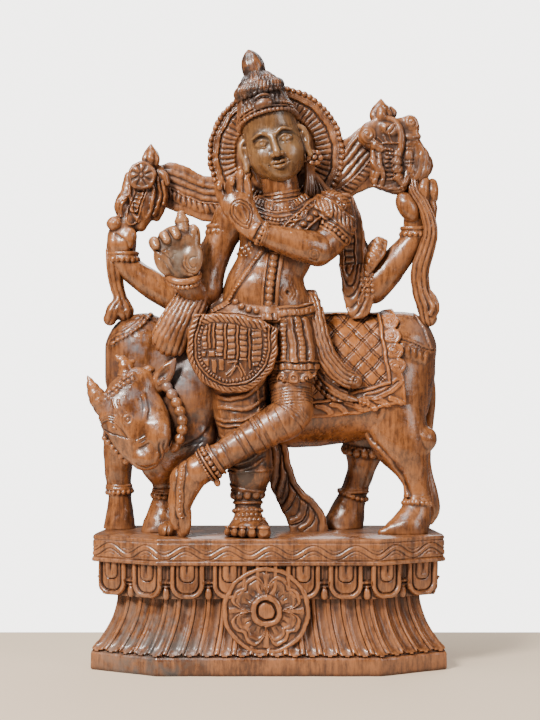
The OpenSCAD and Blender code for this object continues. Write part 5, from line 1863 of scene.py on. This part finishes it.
def sash_tail():
    g = around("back_sash_tail", 0.65, 5)
    low, high = box_mm("back_sash_tail")
    edge = [(-4, 240), (-2, 205), (2, 180), (7, 166), (15, 150), (22, 134), (24, 129), (58, 129), (57, 148),
            (50, 160),
            (35, 174), (26, 190), (20, 214), (18, 240)]

    def height(x, z):
        u, v = trace(x, z, [(18, 240), (20, 214), (26, 190), (35, 174), (50, 160), (57, 146), (57, 128)])
        h = ridge(v + 3.2, 3.4, 1.3) + groove(v + 7.2, 0.9, 1.2)
        for line, wide, tall in (([(3, 236), (7, 214), (7, 194), (3, 178)], 4.2, 2.0),
                                 ([(13, 228), (15, 204), (14, 186), (10, 170)], 3.6, 1.8),
                                 ([(24, 184), (24, 172), (19, 160), (13, 154)], 4.0, 1.8),
                                 ([(35, 170), (36, 158), (31, 147), (24, 143)], 4.2, 1.8),
                                 ([(43, 160), (44, 150), (40, 141), (33, 136)], 3.2, 1.2)):
            leaf_u, leaf_v = trace(x, z, line)
            h = h + (ridge(leaf_v, wide, tall) + groove(leaf_v - 0.4 * wide, 0.7, 0.8)
                     + groove(np.abs(leaf_v) - wide, 0.8, 0.9)) * (v < -7.5)
        return h - 0.4

    g.slab(low[1] + 3.4, high[1], lambda x, z: outline(x, z, edge, 5), height, edge=3.0, back=0.5)
    g.wander(0.2)
    finish("back_sash_tail", g, dress_wood)


# ---- deity: legs -----------------------------------------------------------------------

def wrapped(period, lines, gap=1.7, depth=0.75, shift=0.0):
    """Tight cloth: groups of fine ring grooves round a limb."""
    def relief(u, angle, r):
        s = np.mod(u + shift + 0.9 * np.cos(angle), period)
        h = 0
        for k in range(lines):
            h = h + groove(s - period / 2 - (k - (lines - 1) / 2) * gap, 0.62, depth)
        return h
    return relief


def crossed_leg():
    g = around("crossed_thigh", 0.6, 9)
    g.limb([(19, -18, 338, 26), (21, -26, 306, 23), (22, -33, 276, 21.4), (23.5, -38, 258, 20.5)],
           relief=wrapped(12, 4, 3.0, 1.0))
    g.wander(0.18, 1.6)
    finish("crossed_thigh", g, dress_wood)

    g = around("crossed_shin", 0.6, 9)
    g.limb([(24, -38, 257, 20.5), (16, -41, 248, 20.4), (0, -42, 240, 19.0), (-25, -43, 225, 16.6),
            (-42, -44, 214.5, 14.4),
            (-57, -44, 206, 13)], relief=wrapped(17, 4, 2.7, 1.2, 3))
    g.ball((26, -44, 254), (13, 13, 13), 6)
    g.wander(0.18, 1.6)
    finish("crossed_shin", g, dress_wood)

    rows = [(-57, -44, 206, 13.4), (-70, -44, 198, 15), (-80, -44, 184, 14.5), (-85.5, -44, 170, 12.5),
            (-87, -44, 157, 9.6), (-85.5, -44, 146, 6.4), (-84, -44, 136, 4.4)]
    g = around("crossed_foot", 0.55, 13)
    g.limb(rows, flat=0.85)
    g.ball((-84, -45, 191), (12, 13, 12), 6)
    g.limb([(-90, -47, 160, 5), (-92, -47, 150, 4), (-90, -46, 143, 3.2)], 1.5)
    g.limb([(-80, -46, 158, 5), (-79, -46, 146, 4), (-80, -45, 138, 3)], 1.5)

    band = [(-50, -44, 210, 13.8), (-60, -44, 203.5, 14.6), (-69, -44, 198, 15)]
    g.limb(band, 0.3, relief=lambda u, angle, r: ridge(u - 2.6, 1.6, 3.2) + ridge(u - 11.8, 1.6, 3.2) + 0.6)
    bead_ring(g, band, 7.2, 2.8, out=0.35)
    bead_ring(g, band, 14.6, 1.6, out=0.6)
    g.ball((-50, -48, 187), (3.4, 3.6, 4.6), 0.8, tilt=24)

    def marks(x, z):
        u, v = trace(x, z, [(-83, 206), (-85, 190), (-86, 175), (-86, 160), (-84, 152)])
        h = (ridge(v, 3.4, 0.9) + 0.8 * beads(u, v, 4.4, 1.7) + groove(v - 4.2, 0.8, 0.9)
             + groove(v + 4.2, 0.8, 0.9)) * (u < 54)
        u, v = trace(x, z, [(-88, 152), (-87, 143), (-84, 134)])
        h = h + groove(v, 0.8, 0.9)
        return h + 0.8 * np.exp(-((x + 83.6) / 2.2) ** 2 - ((z - 137.5) / 3) ** 2)

    g.emboss(marks, y_max=-44)
    g.wander(0.15, 1.3)
    finish("crossed_foot", g, skin_wood)


def standing_leg():
    g = around("standing_leg", 0.7, 6)
    rows = [(-24, -16, 328, 29), (-27, -20, 292, 30), (-28, -21, 262, 28), (-22, -20, 226, 24),
            (-18.5, -19, 202, 22.6),
            (-18.5, -19, 191, 20.5), (-20.5, -18, 182, 15.4), (-20.5, -19, 162, 13.2),
            (-20.5, -21, 148, 13.4)]

    def rings(u, angle, r):
        h = 0
        for z, wide, tall in ((189, 1.6, 1.8), (179.5, 1.8, 2.6), (164.6, 1.6, 2.0), (199, 1.2, 1.2)):
            h = h + ridge(u - station(rows, z)[0], wide, tall)
        return h

    g.limb(rows, relief=rings)
    bead_ring(g, rows, station(rows, 172.2)[0], 4.0, out=0.05, squash=1.15)
    bead_ring(g, rows, station(rows, 156.5)[0], 2.3, out=0.2)

    def drape(x, z):
        h = 0
        for line, wide, tall in (([(-64, 277), (-44, 269), (-22, 272), (0, 290)], 2.6, 2.4),
                                 ([(-58, 258), (-42, 260), (-22, 258), (2, 272)], 2.0, 1.9),
                                 ([(-56, 250), (-38, 246), (-18, 250), (4, 266)], 1.6, 1.9),
                                 ([(-56, 244), (-38, 241), (-18, 245), (4, 260)], 1.4, 1.6),
                                 ([(-50, 232), (-36, 226), (-18, 232), (0, 244)], 2.0, 1.3),
                                 ([(-44, 211), (-32, 204), (-18, 209), (-2, 220)], 2.0, 1.8),
                                 ([(-42, 203), (-30, 198), (-16, 202), (-4, 210)], 1.6, 1.6)):
            u, v = trace(x, z, line)
            h = h + ridge(v, wide, tall) + groove(v + wide + 0.9, 0.9, 0.6)
        for line in ([(-12, 284), (-9, 264), (-12, 244)], [(-5, 280), (-3, 262), (-7, 240)]):
            u, v = trace(x, z, line)
            h = h + ridge(v, 1.5, 1.4)
        h = h * within(x, -53, 2, 9)
        return h

    g.emboss(drape, y_max=-20)
    g.wander(0.25, 1.2)
    finish("standing_leg", g, dress_wood)

    g = around("standing_foot", 0.5, 13)
    g.ball((-19, -30, 141), (20, 25, 12.5))
    g.limb([(-20.5, -21, 155, 13), (-20, -26, 146, 14)], 5)
    for x, r, y in ((-39.5, 3.9, -45), (-32.5, 4.2, -49), (-25, 4.5, -51.5), (-16, 5.0, -53),
                    (-4.5, 7.0, -52)):
        g.limb([(x * 0.9 - 2, y + 16, 140, r * 0.95), (x, y, 138.2, r)], 1.2)
        g.ball((x, y - r + 0.6, 140), (r * 0.66, 1.5, r * 0.72), 0.3)
        g.ball((x, y - r * 0.7, 143.8), (r * 0.9, r * 0.7, r * 0.35), 0.5)
    g.string([(-42, 148), (-34, 149.5), (-20, 150.5), (-6, 149.5), (3, 147.5)], 4.4, 2.4)
    g.string([(-36, 153), (-20, 155), (-5, 153)], 4.4, 1.9)
    win, X, Y, Z = g.window()
    g.d = smax(g.d, 131.5 - Z + np.zeros_like(g.d), 1.0)
    g.wander(0.15, 1.3)
    finish("standing_foot", g, skin_wood)


rear_right_arm()
discus()
rear_left_arm()
conch()
ribbons()
garland()
belt()
apron()
skirt()
hip_sash()
shoulder_sash()
arm_drapery()
sash_tail()
crossed_leg()
standing_leg()
